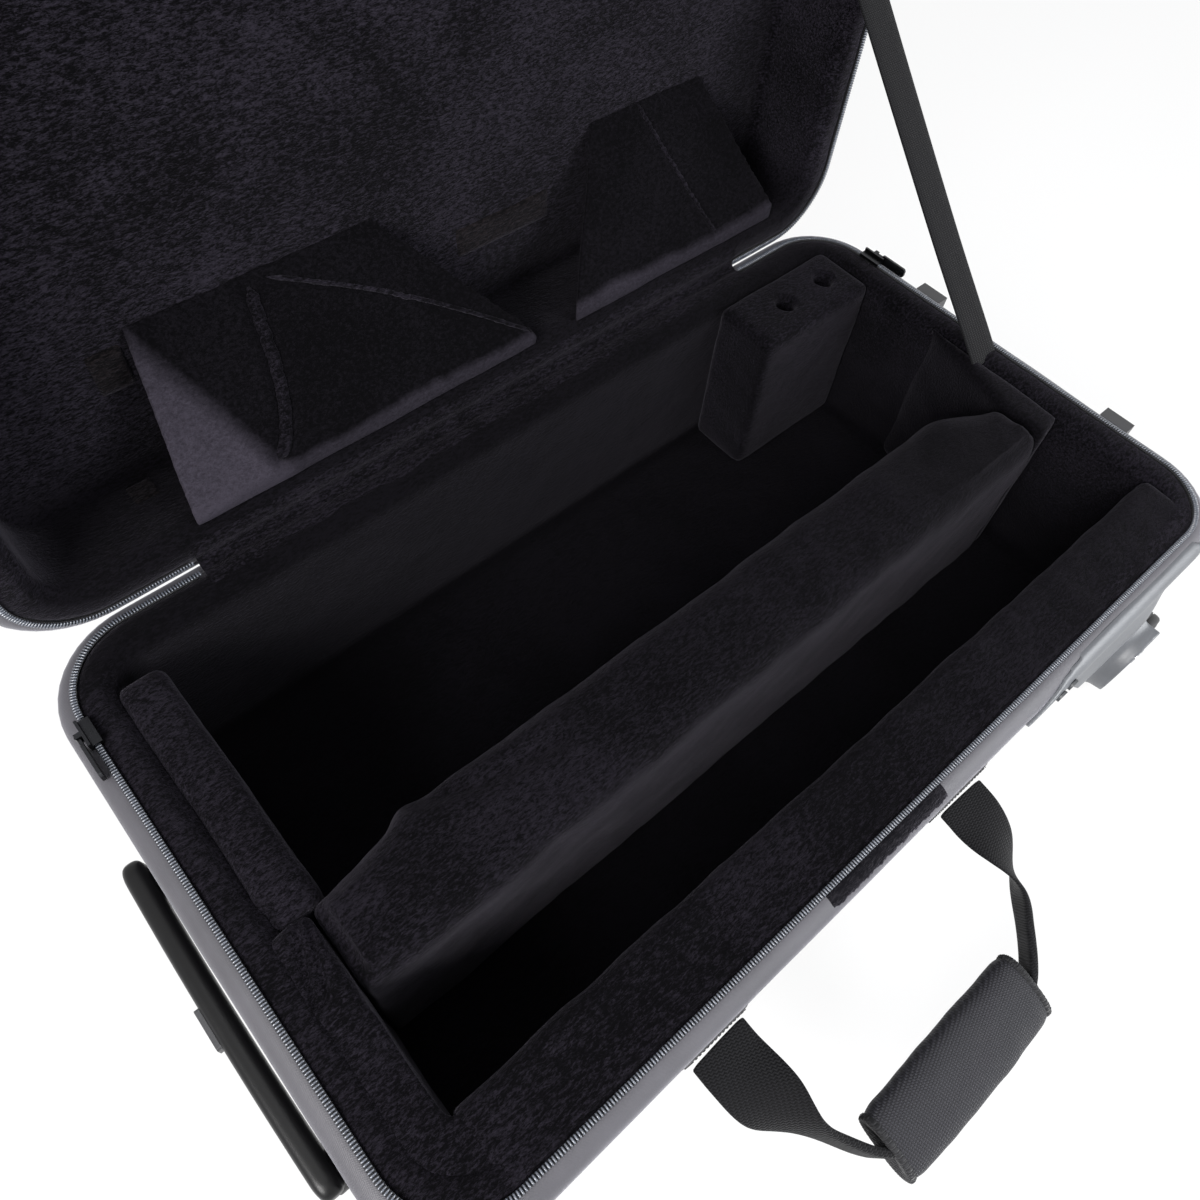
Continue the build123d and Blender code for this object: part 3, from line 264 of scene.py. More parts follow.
@dataclass(frozen=True)
class Plush(Finish):
    """Black short-pile plush; its tufts lie along a direction, and bands of painted light and painted shade lie over
    parts of it.

    Each row of the painted bands is a direction, the distances along it where the band starts and is full, in metres,
    and
    how much of it there is: a painted highlight above zero, painted shade below. tone gives lit and shaded copies of
    the plush: it scales the pile's colour and sheen per piece as painted light and shade.
    """

    title: str = "plush"
    lay: Vec3 = (0.0, 0.0, 0.6)
    stretch: Vec3 = (0.35, 1.0, 1.0)
    dark: Vec3 = (0.0004, 0.0003, 0.0007)
    light: Vec3 = (0.0116, 0.0100, 0.0145)
    # Colour of the painted highlight bands.
    bright: Vec3 = (0.036, 0.032, 0.043)
    sheen: float = 0.07
    # Painted light and shade: lightness of this piece's pile and sheen, set per piece for how much light it gets.
    tone: float = 1.0
    painted_light_bands: tuple[tuple[float, ...], ...] = ()
    waver: float = 0.012
    pile: float = 0.0009

    def build(self, shader: bpy.types.Node, place: Wire) -> None:
        """Patches where the pile is brushed another way, tufts, single hairs, and bands of painted light and shade.

        Args:
            shader: The material's shader.
            place: The object's coordinates.
        """
        laid = place.stretched(self.stretch, self.lay)
        brushed = place.grain(14.0, 3.0, 0.55, 0.6)
        tufts = laid.grain(760.0, 3.0, 0.60, 0.35)
        hairs = laid.grain(2300.0, 2.0, 0.6)
        tone = (brushed - 0.5) * 1.5 + (tufts - 0.47) * 3.2 + (hairs - 0.5) * 2.4
        colour = (tone + 0.16).between(self.dark, tuple(v * self.tone for v in self.light))
        # Bands of painted light and shade: each lightens or darkens the colour along a direction.
        for x, y, z, start, end, gain in self.painted_light_bands:
            along = place.axis("X") * x + place.axis("Y") * y + place.axis("Z") * z + (brushed - 0.5) * self.waver
            share = ((along - start) * (1.0 / (end - start))).clamped() * ((tone * 0.35 + 0.75) * abs(gain))
            colour = share.between(colour, self.bright if gain > 0 else self.dark)
        self.link(
            shader,
            Base_Color=colour,
            Roughness=0.92,
            Specular_IOR_Level=0.06,
            Sheen_Weight=self.sheen * self.tone,
            Sheen_Roughness=0.42,
            Sheen_Tint=(0.62, 0.58, 0.70, 1.0),
            Normal=(tufts * 0.7 + hairs * 0.3).bump(self.pile),
        )


@dataclass(frozen=True)
class ShellNylon(Finish):
    """Fine woven nylon over the boards, with a slight coated gloss."""

    title: str = "shell_nylon"
    dark: Vec3 = (0.030, 0.029, 0.034)
    light: Vec3 = (0.098, 0.094, 0.110)
    pitch: float = 0.00085
    yarn: float = 0.00016

    def build(self, shader: bpy.types.Node, place: Wire) -> None:
        """A plain weave over a soft unevenness.

        Args:
            shader: The material's shader.
            place: The object's coordinates.
        """
        along = place.axis("X").wave(self.pitch)
        across = (place.axis("Y") + place.axis("Z")).wave(self.pitch)
        weave = along * across * 0.5 + 0.5
        wear = place.grain(35.0, 4.0, 0.6)
        fibre = place.grain(2600.0, 1.0)
        self.link(
            shader,
            Base_Color=(weave * 0.35 + wear * 0.5 + fibre * 0.25 - 0.12).between(self.dark, self.light),
            Roughness=wear * 0.16 + 0.44,
            Specular_IOR_Level=0.55,
            Sheen_Weight=0.35,
            Sheen_Roughness=0.35,
            Sheen_Tint=(0.85, 0.85, 0.95, 1.0),
            Normal=(weave * 0.7 + fibre * 0.3).bump(self.yarn, 0.6),
        )


@dataclass(frozen=True)
class RibbedWebbing(Finish):
    """Woven webbing with a rib across its run and a herringbone of yarns."""

    title: str = "webbing"
    run: Vec3 = ALONG_X
    across: Vec3 = ALONG_Y
    pitch: float = 0.0013
    dark: Vec3 = (0.002, 0.002, 0.003)
    light: Vec3 = (0.022, 0.022, 0.025)
    shine: float = 0.3
    rib_height: float = 0.0004

    def build(self, shader: bpy.types.Node, place: Wire) -> None:
        """Ribs, broken by the yarns that pass over and under.

        Args:
            shader: The material's shader.
            place: The object's coordinates.
        """
        run, side = (sum((place.axis(n) * v for n, v in zip("XYZ", way) if v), 0.0)
                     for way in (self.run, self.across))
        yarn = side.wave(self.pitch * 1.7)
        rib = (run + yarn * (self.pitch * 0.22)).wave(self.pitch) * 0.5 + 0.5
        fuzz = place.grain(1500.0, 2.0)
        self.link(
            shader,
            Base_Color=(rib * 0.55 + yarn * 0.12 + fuzz * 0.4 - 0.12).between(self.dark, self.light),
            Roughness=0.72,
            Specular_IOR_Level=self.shine,
            Sheen_Weight=self.shine * 0.6,
            Sheen_Roughness=0.4,
            Normal=(rib * 0.8 + yarn * 0.12 + fuzz * 0.25).bump(self.rib_height, 0.8),
        )


@dataclass(frozen=True)
class StrapWebbing(RibbedWebbing):
    """The darker, duller webbing of the straps."""

    title: str = "strap_webbing"
    run: Vec3 = (0.0, 0.7, 0.7)
    across: Vec3 = ALONG_X
    dark: Vec3 = (0.0008, 0.0008, 0.0011)
    light: Vec3 = (0.013, 0.013, 0.015)
    shine: float = 0.12


@dataclass(frozen=True)
class BasketNylon(Finish):
    """Coarse basket-weave nylon of the handle's wrap."""

    title: str = "basket_nylon"
    dark: Vec3 = (0.002, 0.002, 0.003)
    light: Vec3 = (0.032, 0.032, 0.040)
    pitch: float = 0.0022
    cell: float = 0.0005
    turn: Vec3 = (-21.5, 0.0, 28.0)

    def build(self, shader: bpy.types.Node, place: Wire) -> None:
        """Yarn pairs that cross at right angles, a check of raised cells.

        Args:
            shader: The material's shader.
            place: The object's coordinates.
        """
        turned = place.stretched((1.0, 1.0, 1.0), tuple(math.radians(a) for a in self.turn))
        one, two = (turned.axis(name).wave(self.pitch) for name in "XY")
        check = (one * two * 1.6 + 0.5).clamped()
        fuzz = place.grain(2200.0, 2.0)
        self.link(
            shader,
            Base_Color=(check * 0.5 + fuzz * 0.4 - 0.05).between(self.dark, self.light),
            Roughness=0.6,
            Specular_IOR_Level=0.25,
            Sheen_Weight=0.12,
            Sheen_Roughness=0.35,
            Normal=(check * 0.6 + (one * one + two * two) * 0.25 + fuzz * 0.2).bump(self.cell, 0.8),
        )


@dataclass(frozen=True)
class Moulded(Finish):
    """Satin moulded plastic with a fine spark-eroded grain."""

    title: str = "moulded"
    colour: Vec3 = (0.055, 0.056, 0.060)
    roughness: float = 0.36
    shine: float = 0.5
    grain_depth: float = 0.00006

    def build(self, shader: bpy.types.Node, place: Wire) -> None:
        """Grain, faint scuffs and a change of gloss.

        Args:
            shader: The material's shader.
            place: The object's coordinates.
        """
        fine = place.grain(2600.0, 2.0)
        scuff = place.grain(60.0, 5.0, 0.65, 0.4)
        dark, light = (tuple(c * share for c in self.colour) for share in (0.82, 1.2))
        self.link(
            shader,
            Base_Color=(scuff * 1.4 - 0.2).between(dark, light),
            Roughness=(scuff - 0.5) * 0.18 + self.roughness,
            Specular_IOR_Level=self.shine,
            Normal=fine.bump(self.grain_depth, 0.5),
        )


@dataclass(frozen=True)
class Metal(Finish):
    """Bare or blackened metal."""

    title: str = "metal"
    colour: Vec3 = (0.62, 0.63, 0.65)
    roughness: float = 0.28
    draw: Vec3 = (1.0, 1.0, 1.0)
    line_depth: float = 0.00001

    def build(self, shader: bpy.types.Node, place: Wire) -> None:
        """Fine lines along the way it was drawn, and handling marks.

        Args:
            shader: The material's shader.
            place: The object's coordinates.
        """
        lines = place.stretched(self.draw).grain(900.0, 3.0)
        marks = place.grain(120.0, 4.0, 0.6)
        self.link(
            shader,
            Base_Color=marks.between(tuple(c * 0.85 for c in self.colour), self.colour),
            Metallic=1.0,
            Roughness=(lines - 0.5) * 0.2 + (marks - 0.5) * 0.1 + self.roughness,
            Normal=lines.bump(self.line_depth, 0.3),
        )


@dataclass(frozen=True)
class Coil(Finish):
    """Hard glossy nylon of the zip's teeth."""

    title: str = "zip_coil"
    dark: Vec3 = (0.030, 0.034, 0.044)
    light: Vec3 = (0.150, 0.165, 0.200)
    relief: float = 0.00004

    def build(self, shader: bpy.types.Node, place: Wire) -> None:
        """Blue-black, with teeth that differ a little.

        Args:
            shader: The material's shader.
            place: The object's coordinates.
        """
        tooth = place.grain(520.0, 2.0)
        self.link(
            shader,
            Base_Color=tooth.between(self.dark, self.light),
            Roughness=tooth * 0.12 + 0.2,
            Specular_IOR_Level=0.8,
            Coat_Weight=0.4,
            Coat_Roughness=0.15,
            Normal=place.grain(1800.0, 1.0).bump(self.relief, 0.4),
        )


# ------------------------------------------------------------------ mesh tools
def make_object(name: str, points: np.ndarray, faces: Sequence[Sequence[int]]) -> bpy.types.Object:
    """Makes a mesh object from points and faces, with its normals turned outwards.

    Args:
        name: Name of the object and mesh.
        points: Rows of x, y, z in metres.
        faces: Rows of point numbers.

    Returns:
        The object, linked to the scene.
    """
    mesh = bpy.data.meshes.new(name)
    mesh.from_pydata([tuple(p) for p in points], [], [tuple(f) for f in faces])
    solid = bmesh.new()
    solid.from_mesh(mesh)
    bmesh.ops.remove_doubles(solid, verts=solid.verts, dist=1e-6)
    bmesh.ops.recalc_face_normals(solid, faces=solid.faces)
    for face in solid.faces:
        face.smooth = True
    solid.to_mesh(mesh)
    solid.free()
    made = bpy.data.objects.new(name, mesh)
    bpy.context.scene.collection.objects.link(made)
    return made


def grid_faces(rows: int, columns: int, wrap_rows: bool = False, wrap_columns: bool = False) -> list[tuple[int, ...]]:
    """Quads over a grid of points stored row by row.

    Args:
        rows: Number of rows.
        columns: Number of points in a row.
        wrap_rows: Whether the last row joins the first.
        wrap_columns: Whether each row is a loop.

    Returns:
        The faces.
    """
    faces = []
    for r in range(rows if wrap_rows else rows - 1):
        for c in range(columns if wrap_columns else columns - 1):
            below, right = (r + 1) % rows, (c + 1) % columns
            faces.append((r * columns + c, below * columns + c, below * columns + right, r * columns + right))
    return faces


def tube_faces(rings: int, columns: int) -> list[tuple[int, ...]]:
    """Faces over a row of rings, with both ends closed.

    Args:
        rings: Number of rings.
        columns: Points in a ring.

    Returns:
        The faces.
    """
    last = rings * columns - 1
    ends = [tuple(range(columns)), tuple(range(last, last - columns, -1))]
    return grid_faces(rings, columns, False, True) + ends


def squared_circle(step: int, count: int, powers: Row) -> tuple[float, float]:
    """One of the evenly spaced points of a unit circle that is pressed towards a square.

    Args:
        step: Which point.
        count: Number of points round the circle.
        powers: Exponents of cosine and sine; 1 is a plain circle, less is squarer.

    Returns:
        Both coordinates.
    """
    angle = 2 * math.pi * step / count
    c, s = (math.copysign(abs(v) ** p, v) for v, p in zip((math.cos(angle), math.sin(angle)), powers))
    return c, s


def eased(share: np.ndarray, start: float, length: float) -> np.ndarray:
    """A smooth rise from 0 to 1 over a part of a run.

    Args:
        share: Places along the run, from 0 to 1.
        start: Where the rise starts.
        length: How long it is.

    Returns:
        The height of the rise at each place.
    """
    rise = np.clip((share - start) / length, 0, 1)
    return rise * rise * (3 - 2 * rise)


def joined(*shapes: Shape) -> Shape:
    """Puts several shapes into one list of points and faces.

    Args:
        shapes: Points and faces of each shape.

    Returns:
        All points and faces.
    """
    points, faces, start = [], [], 0
    for rows, cells in shapes:
        points.append(np.asarray(rows, float))
        faces.extend(tuple(i + start for i in cell) for cell in cells)
        start += len(rows)
    return np.concatenate(points), faces


def shaped(thing: bpy.types.Object, *steps: tuple[str, dict[str, Any]]) -> bpy.types.Object:
    """Applies modifiers to an object's mesh at once.

    Args:
        thing: The object.
        steps: Modifier types with their settings.

    Returns:
        The same object with its new mesh.
    """
    for number, (kind, settings) in enumerate(steps):
        modifier = thing.modifiers.new(f"step_{number}", kind)
        for name, value in settings.items():
            setattr(modifier, name, value)
    bpy.context.view_layer.update()
    view = bpy.context.evaluated_depsgraph_get()
    mesh = bpy.data.meshes.new_from_object(thing.evaluated_get(view))
    thing.modifiers.clear()
    thing.data = mesh
    for face in mesh.polygons:
        face.use_smooth = True
    return thing


def moved_points(thing: bpy.types.Object, change: Callable[[np.ndarray, np.ndarray], np.ndarray]) -> None:
    """Moves a mesh's points.

    Args:
        thing: The object.
        change: Takes points and normals, returns the new points.
    """
    mesh = thing.data
    points = np.empty(len(mesh.vertices) * 3)
    normals = np.empty(len(mesh.vertices) * 3)
    mesh.vertices.foreach_get("co", points)
    mesh.vertex_normals.foreach_get("vector", normals)
    result = change(points.reshape(-1, 3), normals.reshape(-1, 3))
    mesh.vertices.foreach_set("co", np.ascontiguousarray(result).ravel())
    mesh.update()


def rumple(thing: bpy.types.Object, height: float, size: float, seed: float = 0.0) -> None:
    """Moves a mesh's points along their normals by smooth noise.

    Args:
        thing: The object.
        height: Largest move, in metres.
        size: Width of one hump, in metres.
        seed: Shifts the noise.
    """
    def change(points: np.ndarray, normals: np.ndarray) -> np.ndarray:
        """Adds two octaves of noise."""
        shift = np.array([
            noise.noise(Vector(p / size) + Vector((seed, seed, seed)))
            + 0.5 * noise.noise(Vector(p * (2.3 / size)) + Vector((seed, 0.0, seed)))
            for p in points])
        return points + normals * (shift * height)[:, None]

    moved_points(thing, change)


def distance_to_line(points: np.ndarray, line: Sequence[Row]) -> np.ndarray:
    """Distance of each point to a run of straight pieces.

    Args:
        points: The points.
        line: Corners of the run.

    Returns:
        The distances.
    """
    best = np.full(len(points), np.inf)
    ends = np.asarray(line, float)
    for a, b in zip(ends[:-1], ends[1:]):
        along = b - a
        share = np.clip((points - a) @ along / max(float(along @ along), 1e-12), 0.0, 1.0)
        best = np.minimum(best, np.linalg.norm(points - (a + share[:, None] * along), axis=1))
    return best


def seamed(thing: bpy.types.Object, line: Sequence[Row], groove: float, width: float, ridge: float = 0.0) -> None:
    """Presses a seam into a mesh, with the cloth rolling up beside it or a welt standing in it.

    Args:
        thing: The object.
        line: The seam's points, in metres.
        groove: Depth of the groove, in metres.
        width: Half width of the groove, in metres.
        ridge: Height of a welt along the middle, in metres; the grooves then lie beside it.
    """
    def change(points: np.ndarray, normals: np.ndarray) -> np.ndarray:
        """Groove, rolls and welt."""
        gap = distance_to_line(points, line)
        middle = 1.7 * width if ridge else 0.0
        low = np.exp(-((gap - middle) / width) ** 2) * groove
        roll = np.exp(-((gap - middle - 2.4 * width) / (1.2 * width)) ** 2) * groove * 0.3
        high = np.exp(-(gap / (0.8 * width)) ** 2) * ridge
        return points + normals * (roll - low + high)[:, None]

    moved_points(thing, change)


def inset(outline: Sequence[Row], amount: float) -> list[tuple[float, float]]:
    """An anticlockwise outline with every point moved inwards.

    Args:
        outline: The outline.
        amount: How far its points move.

    Returns:
        The new outline.
    """
    rows = np.asarray(outline, float)
    along = np.roll(rows, -1, axis=0) - np.roll(rows, 1, axis=0)
    along /= np.linalg.norm(along, axis=1)[:, None]
    return [tuple(p) for p in rows + np.column_stack([-along[:, 1], along[:, 0]]) * amount]


def stuffed(outline: Sequence[Row], low: float, high: float, radius: float) -> Shape:
    """Upright form whose top edge is rounded, in millimetres.

    Args:
        outline: Anticlockwise outline.
        low: Height of the foot.
        high: Height of the top.
        radius: Radius of the top edge.

    Returns:
        Points in metres and faces.
    """
    layers = [(0.0, low), (0.0, (low + high) / 2)]
    layers += [(radius * (1 - math.cos(a)), high - radius + radius * math.sin(a))
               for a in np.linspace(0, math.pi / 2, 7)]
    rows = [(x, y, z) for amount, z in layers for x, y in inset(outline, amount)]
    return np.array(rows) * MM, tube_faces(len(layers), len(outline))


def prism(outline: Sequence[Row], low: Callable[[float, float], Vec3], high: Callable[[float, float], Vec3]) -> Shape:
    """Closed shape between two copies of an outline.

    Args:
        outline: Rows of two flat coordinates, in millimetres.
        low: Gives the place of a row in the first copy, in millimetres.
        high: Gives its place in the second copy.

    Returns:
        Points in metres and faces.
    """
    count = len(outline)
    points = [low(*p) for p in outline] + [high(*p) for p in outline]
    faces = [tuple(range(count)), tuple(range(2 * count - 1, count - 1, -1))]
    faces += [(i, (i + 1) % count, (i + 1) % count + count, i + count) for i in range(count)]
    return np.array(points) * MM, faces


def smoothed(thing: bpy.types.Object, voxel: float, rounds: int) -> bpy.types.Object:
    """Gives a piece one even skin with softened corners.

    Args:
        thing: The object.
        voxel: Mesh size in millimetres.
        rounds: How often the form is smoothed.

    Returns:
        The same object with its new mesh.
    """
    remesh = {"mode": "VOXEL", "voxel_size": voxel * MM}
    return shaped(thing, ("REMESH", remesh), ("SMOOTH", {"factor": 0.5, "iterations": rounds}))


def cushion(name: str, shape: Shape, voxel: float, rounds: int) -> bpy.types.Object:
    """A stuffed piece: the shape's corners are softened.

    Args:
        name: Name of the piece.
        shape: Points in metres and faces of the plain form.
        voxel: Mesh size in millimetres.
        rounds: How often the form is smoothed.

    Returns:
        The object.
    """
    made = smoothed(make_object(name, *shape), voxel, rounds)
    return made


# ------------------------------------------------------------------ the two halves' geometry
class Half(Enum):
    """Base or lid, each with its own place in the case's frame."""

    BASE = "base"
    LID = "lid"

    def place(self, points: Any) -> np.ndarray:
        """Places rim coordinates.

        Args:
            points: Rows of x, y and depth, in millimetres.

        Returns:
            Rows of x, y, z in metres.
        """
        x, y, depth = np.asarray(points, float).T
        if self is Half.BASE:
            return np.stack([x, y, RIM - depth], axis=1) * MM
        return np.stack([x, LID_PLANE + depth, RIM + ZIP_HALF - y], axis=1) * MM


@dataclass(frozen=True)
class Outline:
    """The zip line: a rounded rectangle, walked from the middle of the hinge side towards the wheels."""

    length: float = 580.0
    width: float = 2 * ZIP_HALF
    radius: float = 41.0

    def table(self) -> np.ndarray:
        """Rows of arc length, x, y and outward normal, closely spaced.

        Returns:
            The rows, from the hinge side's middle round to it again.
        """
        half_x, half_y, r = self.length / 2 - self.radius, self.width / 2 - self.radius, self.radius
        rows = [(0.0, half_y + r, 0.0, 1.0)]
        corners = ((half_x, half_y, 90), (half_x, -half_y, 0), (-half_x, -half_y, -90), (-half_x, half_y, -180))
        for corner_x, corner_y, start in corners:
            for step in range(46):
                angle = math.radians(start - step * 2)
                c, s = math.cos(angle), math.sin(angle)
                rows.append((corner_x + r * c, corner_y + r * s, c, s))
        rows.append(rows[0])
        flat = np.array(rows)
        run = np.concatenate([[0.0], np.cumsum(np.hypot(*np.diff(flat[:, :2], axis=0).T))])
        return np.column_stack([run, flat])

    def at(self, run: np.ndarray) -> np.ndarray:
        """Rows of x, y and outward normal at arc lengths."""
        table = self.table()
        return np.column_stack([np.interp(run, table[:, 0], table[:, i]) for i in range(1, 5)])

    def total(self) -> float:
        """Length of the whole line."""
        return float(self.table()[-1, 0])

    def rounds(self, step: float) -> np.ndarray:
        """Evenly spaced arc lengths round the whole line."""
        return np.linspace(0.0, self.total(), int(self.total() / step), endpoint=False)

    def zip_run(self, step: float, back_end: float = 204.0) -> np.ndarray:
        """Evenly spaced arc lengths over the part that has a zip."""
        return np.arange(back_end + step / 2, self.total() - back_end, step)

    def sweep(self, runs: np.ndarray, profile: Sequence[Row], closed: bool, loop: bool = False) -> Shape:
        """Sweeps a profile along the line.

        Args:
            runs: Arc lengths of the sections.
            profile: Rows of outward offset and depth, in millimetres.
            closed: Whether the last section joins the first.
            loop: Whether the profile itself is a loop.

        Returns:
            Rim-coordinate points and faces.
        """
        spots = self.at(runs)
        shape = np.asarray(profile, float)
        x = spots[:, None, 0] + spots[:, None, 2] * shape[None, :, 0]
        y = spots[:, None, 1] + spots[:, None, 3] * shape[None, :, 0]
        depth = np.broadcast_to(shape[None, :, 1], x.shape)
        points = np.stack([x, y, depth], axis=2).reshape(-1, 3)
        return points, grid_faces(len(runs), len(shape), closed, loop)


def smooth_profile(corners: Sequence[Row], step: float) -> np.ndarray:
    """Points along a run of straight pieces, no further apart than a step.

    Args:
        corners: Corners of the run.
        step: Greatest distance of two points.

    Returns:
        The points.
    """
    rows = [tuple(corners[0])]
    for a, b in zip(corners[:-1], corners[1:]):
        count = max(1, int(math.dist(a, b) / step + 0.999))
        rows += [tuple(a[i] + (b[i] - a[i]) * k / count for i in range(2)) for k in range(1, count + 1)]
    return np.array(rows)


def arc(centre: Row, radius: float, start: float, end: float, count: int) -> list[tuple[float, float]]:
    """Points of an arc, angles in degrees.

    Args:
        centre: The arc's centre.
        radius: Its radius.
        start: Its first angle.
        end: Its last angle.
        count: Number of points.

    Returns:
        The points.
    """
    return [(centre[0] + radius * math.cos(math.radians(a)), centre[1] + radius * math.sin(math.radians(a)))
            for a in np.linspace(start, end, count)]


@dataclass
class Dresser:
    """Keeps the frame and finishes each piece: body, material, replaced nodes."""

    frame: dict[str, Any]

    def finish(self, thing: bpy.types.Object, finish: Finish, slot: str, body: str = "",
               replaces: Sequence[str] = ()) -> bpy.types.Object:
        """Dresses a new piece.

        Args:
            thing: The piece.
            finish: Its finish.
            slot: The record's material slot; not used.
            body: The CAD body it rides on; left out for a blended piece.
            replaces: CAD nodes that it stands for.

        Returns:
            The piece.
        """
        thing.data.materials.clear()
        thing.data.materials.append(finish.material())
        if replaces:
            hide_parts(*replaces)
        if body:
            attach(thing, body)
        log.info("%s: %d faces on %s", thing.name, len(thing.data.polygons), body or "a blend")
        return thing

    def node(self, name: str, finish: Finish) -> None:
        """Gives a CAD node a finish.

        Args:
            name: The node.
            finish: Its finish.
        """
        for slot in self.frame["nodes"][name].material_slots:
            slot.link = "OBJECT"
            slot.material = finish.material()
        log.info("%s: kept with %s", name, finish.title)


def stitches(name: str, lines: Sequence[Sequence[Row]], pitch: float = 2.6, radius: float = 0.28) -> bpy.types.Object:
    """Sewing thread: short rounded stitches along lines.

    Args:
        name: Name of the piece.
        lines: Runs of points in metres.
        pitch: Stitch spacing in millimetres.
        radius: Thread radius in millimetres.

    Returns:
        The object.
    """
    shapes = []
    for line in lines:
        ends = np.asarray(line, float)
        run = np.concatenate([[0.0], np.cumsum(np.linalg.norm(np.diff(ends, axis=0), axis=1))])
        starts = np.arange(pitch * MM * 0.2, run[-1] - pitch * MM * 0.7, pitch * MM)
        for start in starts:
            spots = np.column_stack([
                np.interp(start + np.array([0.0, 0.12, 0.5, 0.6]) * pitch * MM, run, ends[:, i]) for i in range(3)])
            along = spots[-1] - spots[0]
            along /= np.linalg.norm(along)
            side = np.cross(along, (0.31, 0.52, 0.79))
            side /= np.linalg.norm(side)
            up = np.cross(along, side)
            rings = [spots[k] + (side * math.cos(a) + up * math.sin(a)) * radius * MM * grow
                     for k, grow in enumerate((0.35, 1.0, 1.0, 0.35)) for a in np.arange(5) * 2 * math.pi / 5]
            shapes.append((np.array(rings), grid_faces(4, 5, False, True)))
    return make_object(name, *joined(*shapes))


def lathe(profile: Sequence[Row], centre: Row, segments: int) -> Shape:
    """Turns a profile about an axis along Y.

    Args:
        profile: Rows of radius and y, in millimetres.
        centre: x and z of the axis, in millimetres.
        segments: Sections round the axis.

    Returns:
        Points in metres and faces.
    """
    angles = np.arange(segments) * 2 * math.pi / segments
    shape = np.asarray(profile, float)
    x = centre[0] + np.cos(angles)[:, None] * shape[None, :, 0]
    z = centre[1] + np.sin(angles)[:, None] * shape[None, :, 0]
    y = np.broadcast_to(shape[None, :, 1], x.shape)
    return np.stack([x, y, z], axis=2).reshape(-1, 3) * MM, grid_faces(segments, len(shape), True, False)


def ribbon(line: np.ndarray, across: np.ndarray, widths: np.ndarray, thicks: np.ndarray) -> Shape:
    """A flat band with rounded edges along a line.

    Args:
        line: Centre points in metres.
        across: Unit vector across the band at each point.
        widths: Half widths in metres.
        thicks: Half thicknesses in metres.

    Returns:
        Points and faces of a closed band.
    """
    along = np.gradient(line, axis=0)
    along /= np.linalg.norm(along, axis=1)[:, None]
    side = across - along * np.sum(across * along, axis=1)[:, None]
    side /= np.linalg.norm(side, axis=1)[:, None]
    up = np.cross(along, side)
    half = [(-1.0, -0.4), (-0.9, -1.0), (-0.45, -1.0), (0.0, -1.0), (0.45, -1.0), (0.9, -1.0), (1.0, -0.4)]
    section = np.array(half + [(-u, -v) for u, v in half])
    points = (line[:, None, :] + side[:, None, :] * (section[None, :, 0] * widths[:, None])[:, :, None]
              + up[:, None, :] * (section[None, :, 1] * thicks[:, None])[:, :, None])
    return points.reshape(-1, 3), tube_faces(len(line), len(section))


def through(points: Sequence[Row], count: int) -> np.ndarray:
    """Points of a smooth curve through a few points.

    Args:
        points: The points it runs through.
        count: Number of points on the curve.

    Returns:
        The curve's points.
    """
    rows = np.asarray(points, float)
    rows = np.vstack([2 * rows[0] - rows[1], rows, 2 * rows[-1] - rows[-2]])
    spans = len(rows) - 3
    result = []
    for value in np.linspace(0, spans, count):
        i = min(int(value), spans - 1)
        t = value - i
        a, b, c, d = rows[i:i + 4]
        result.append(0.5 * (2 * b + (c - a) * t + (2 * a - 5 * b + 4 * c - d) * t * t
                             + (3 * b - a - 3 * c + d) * t ** 3))
    return np.array(result)


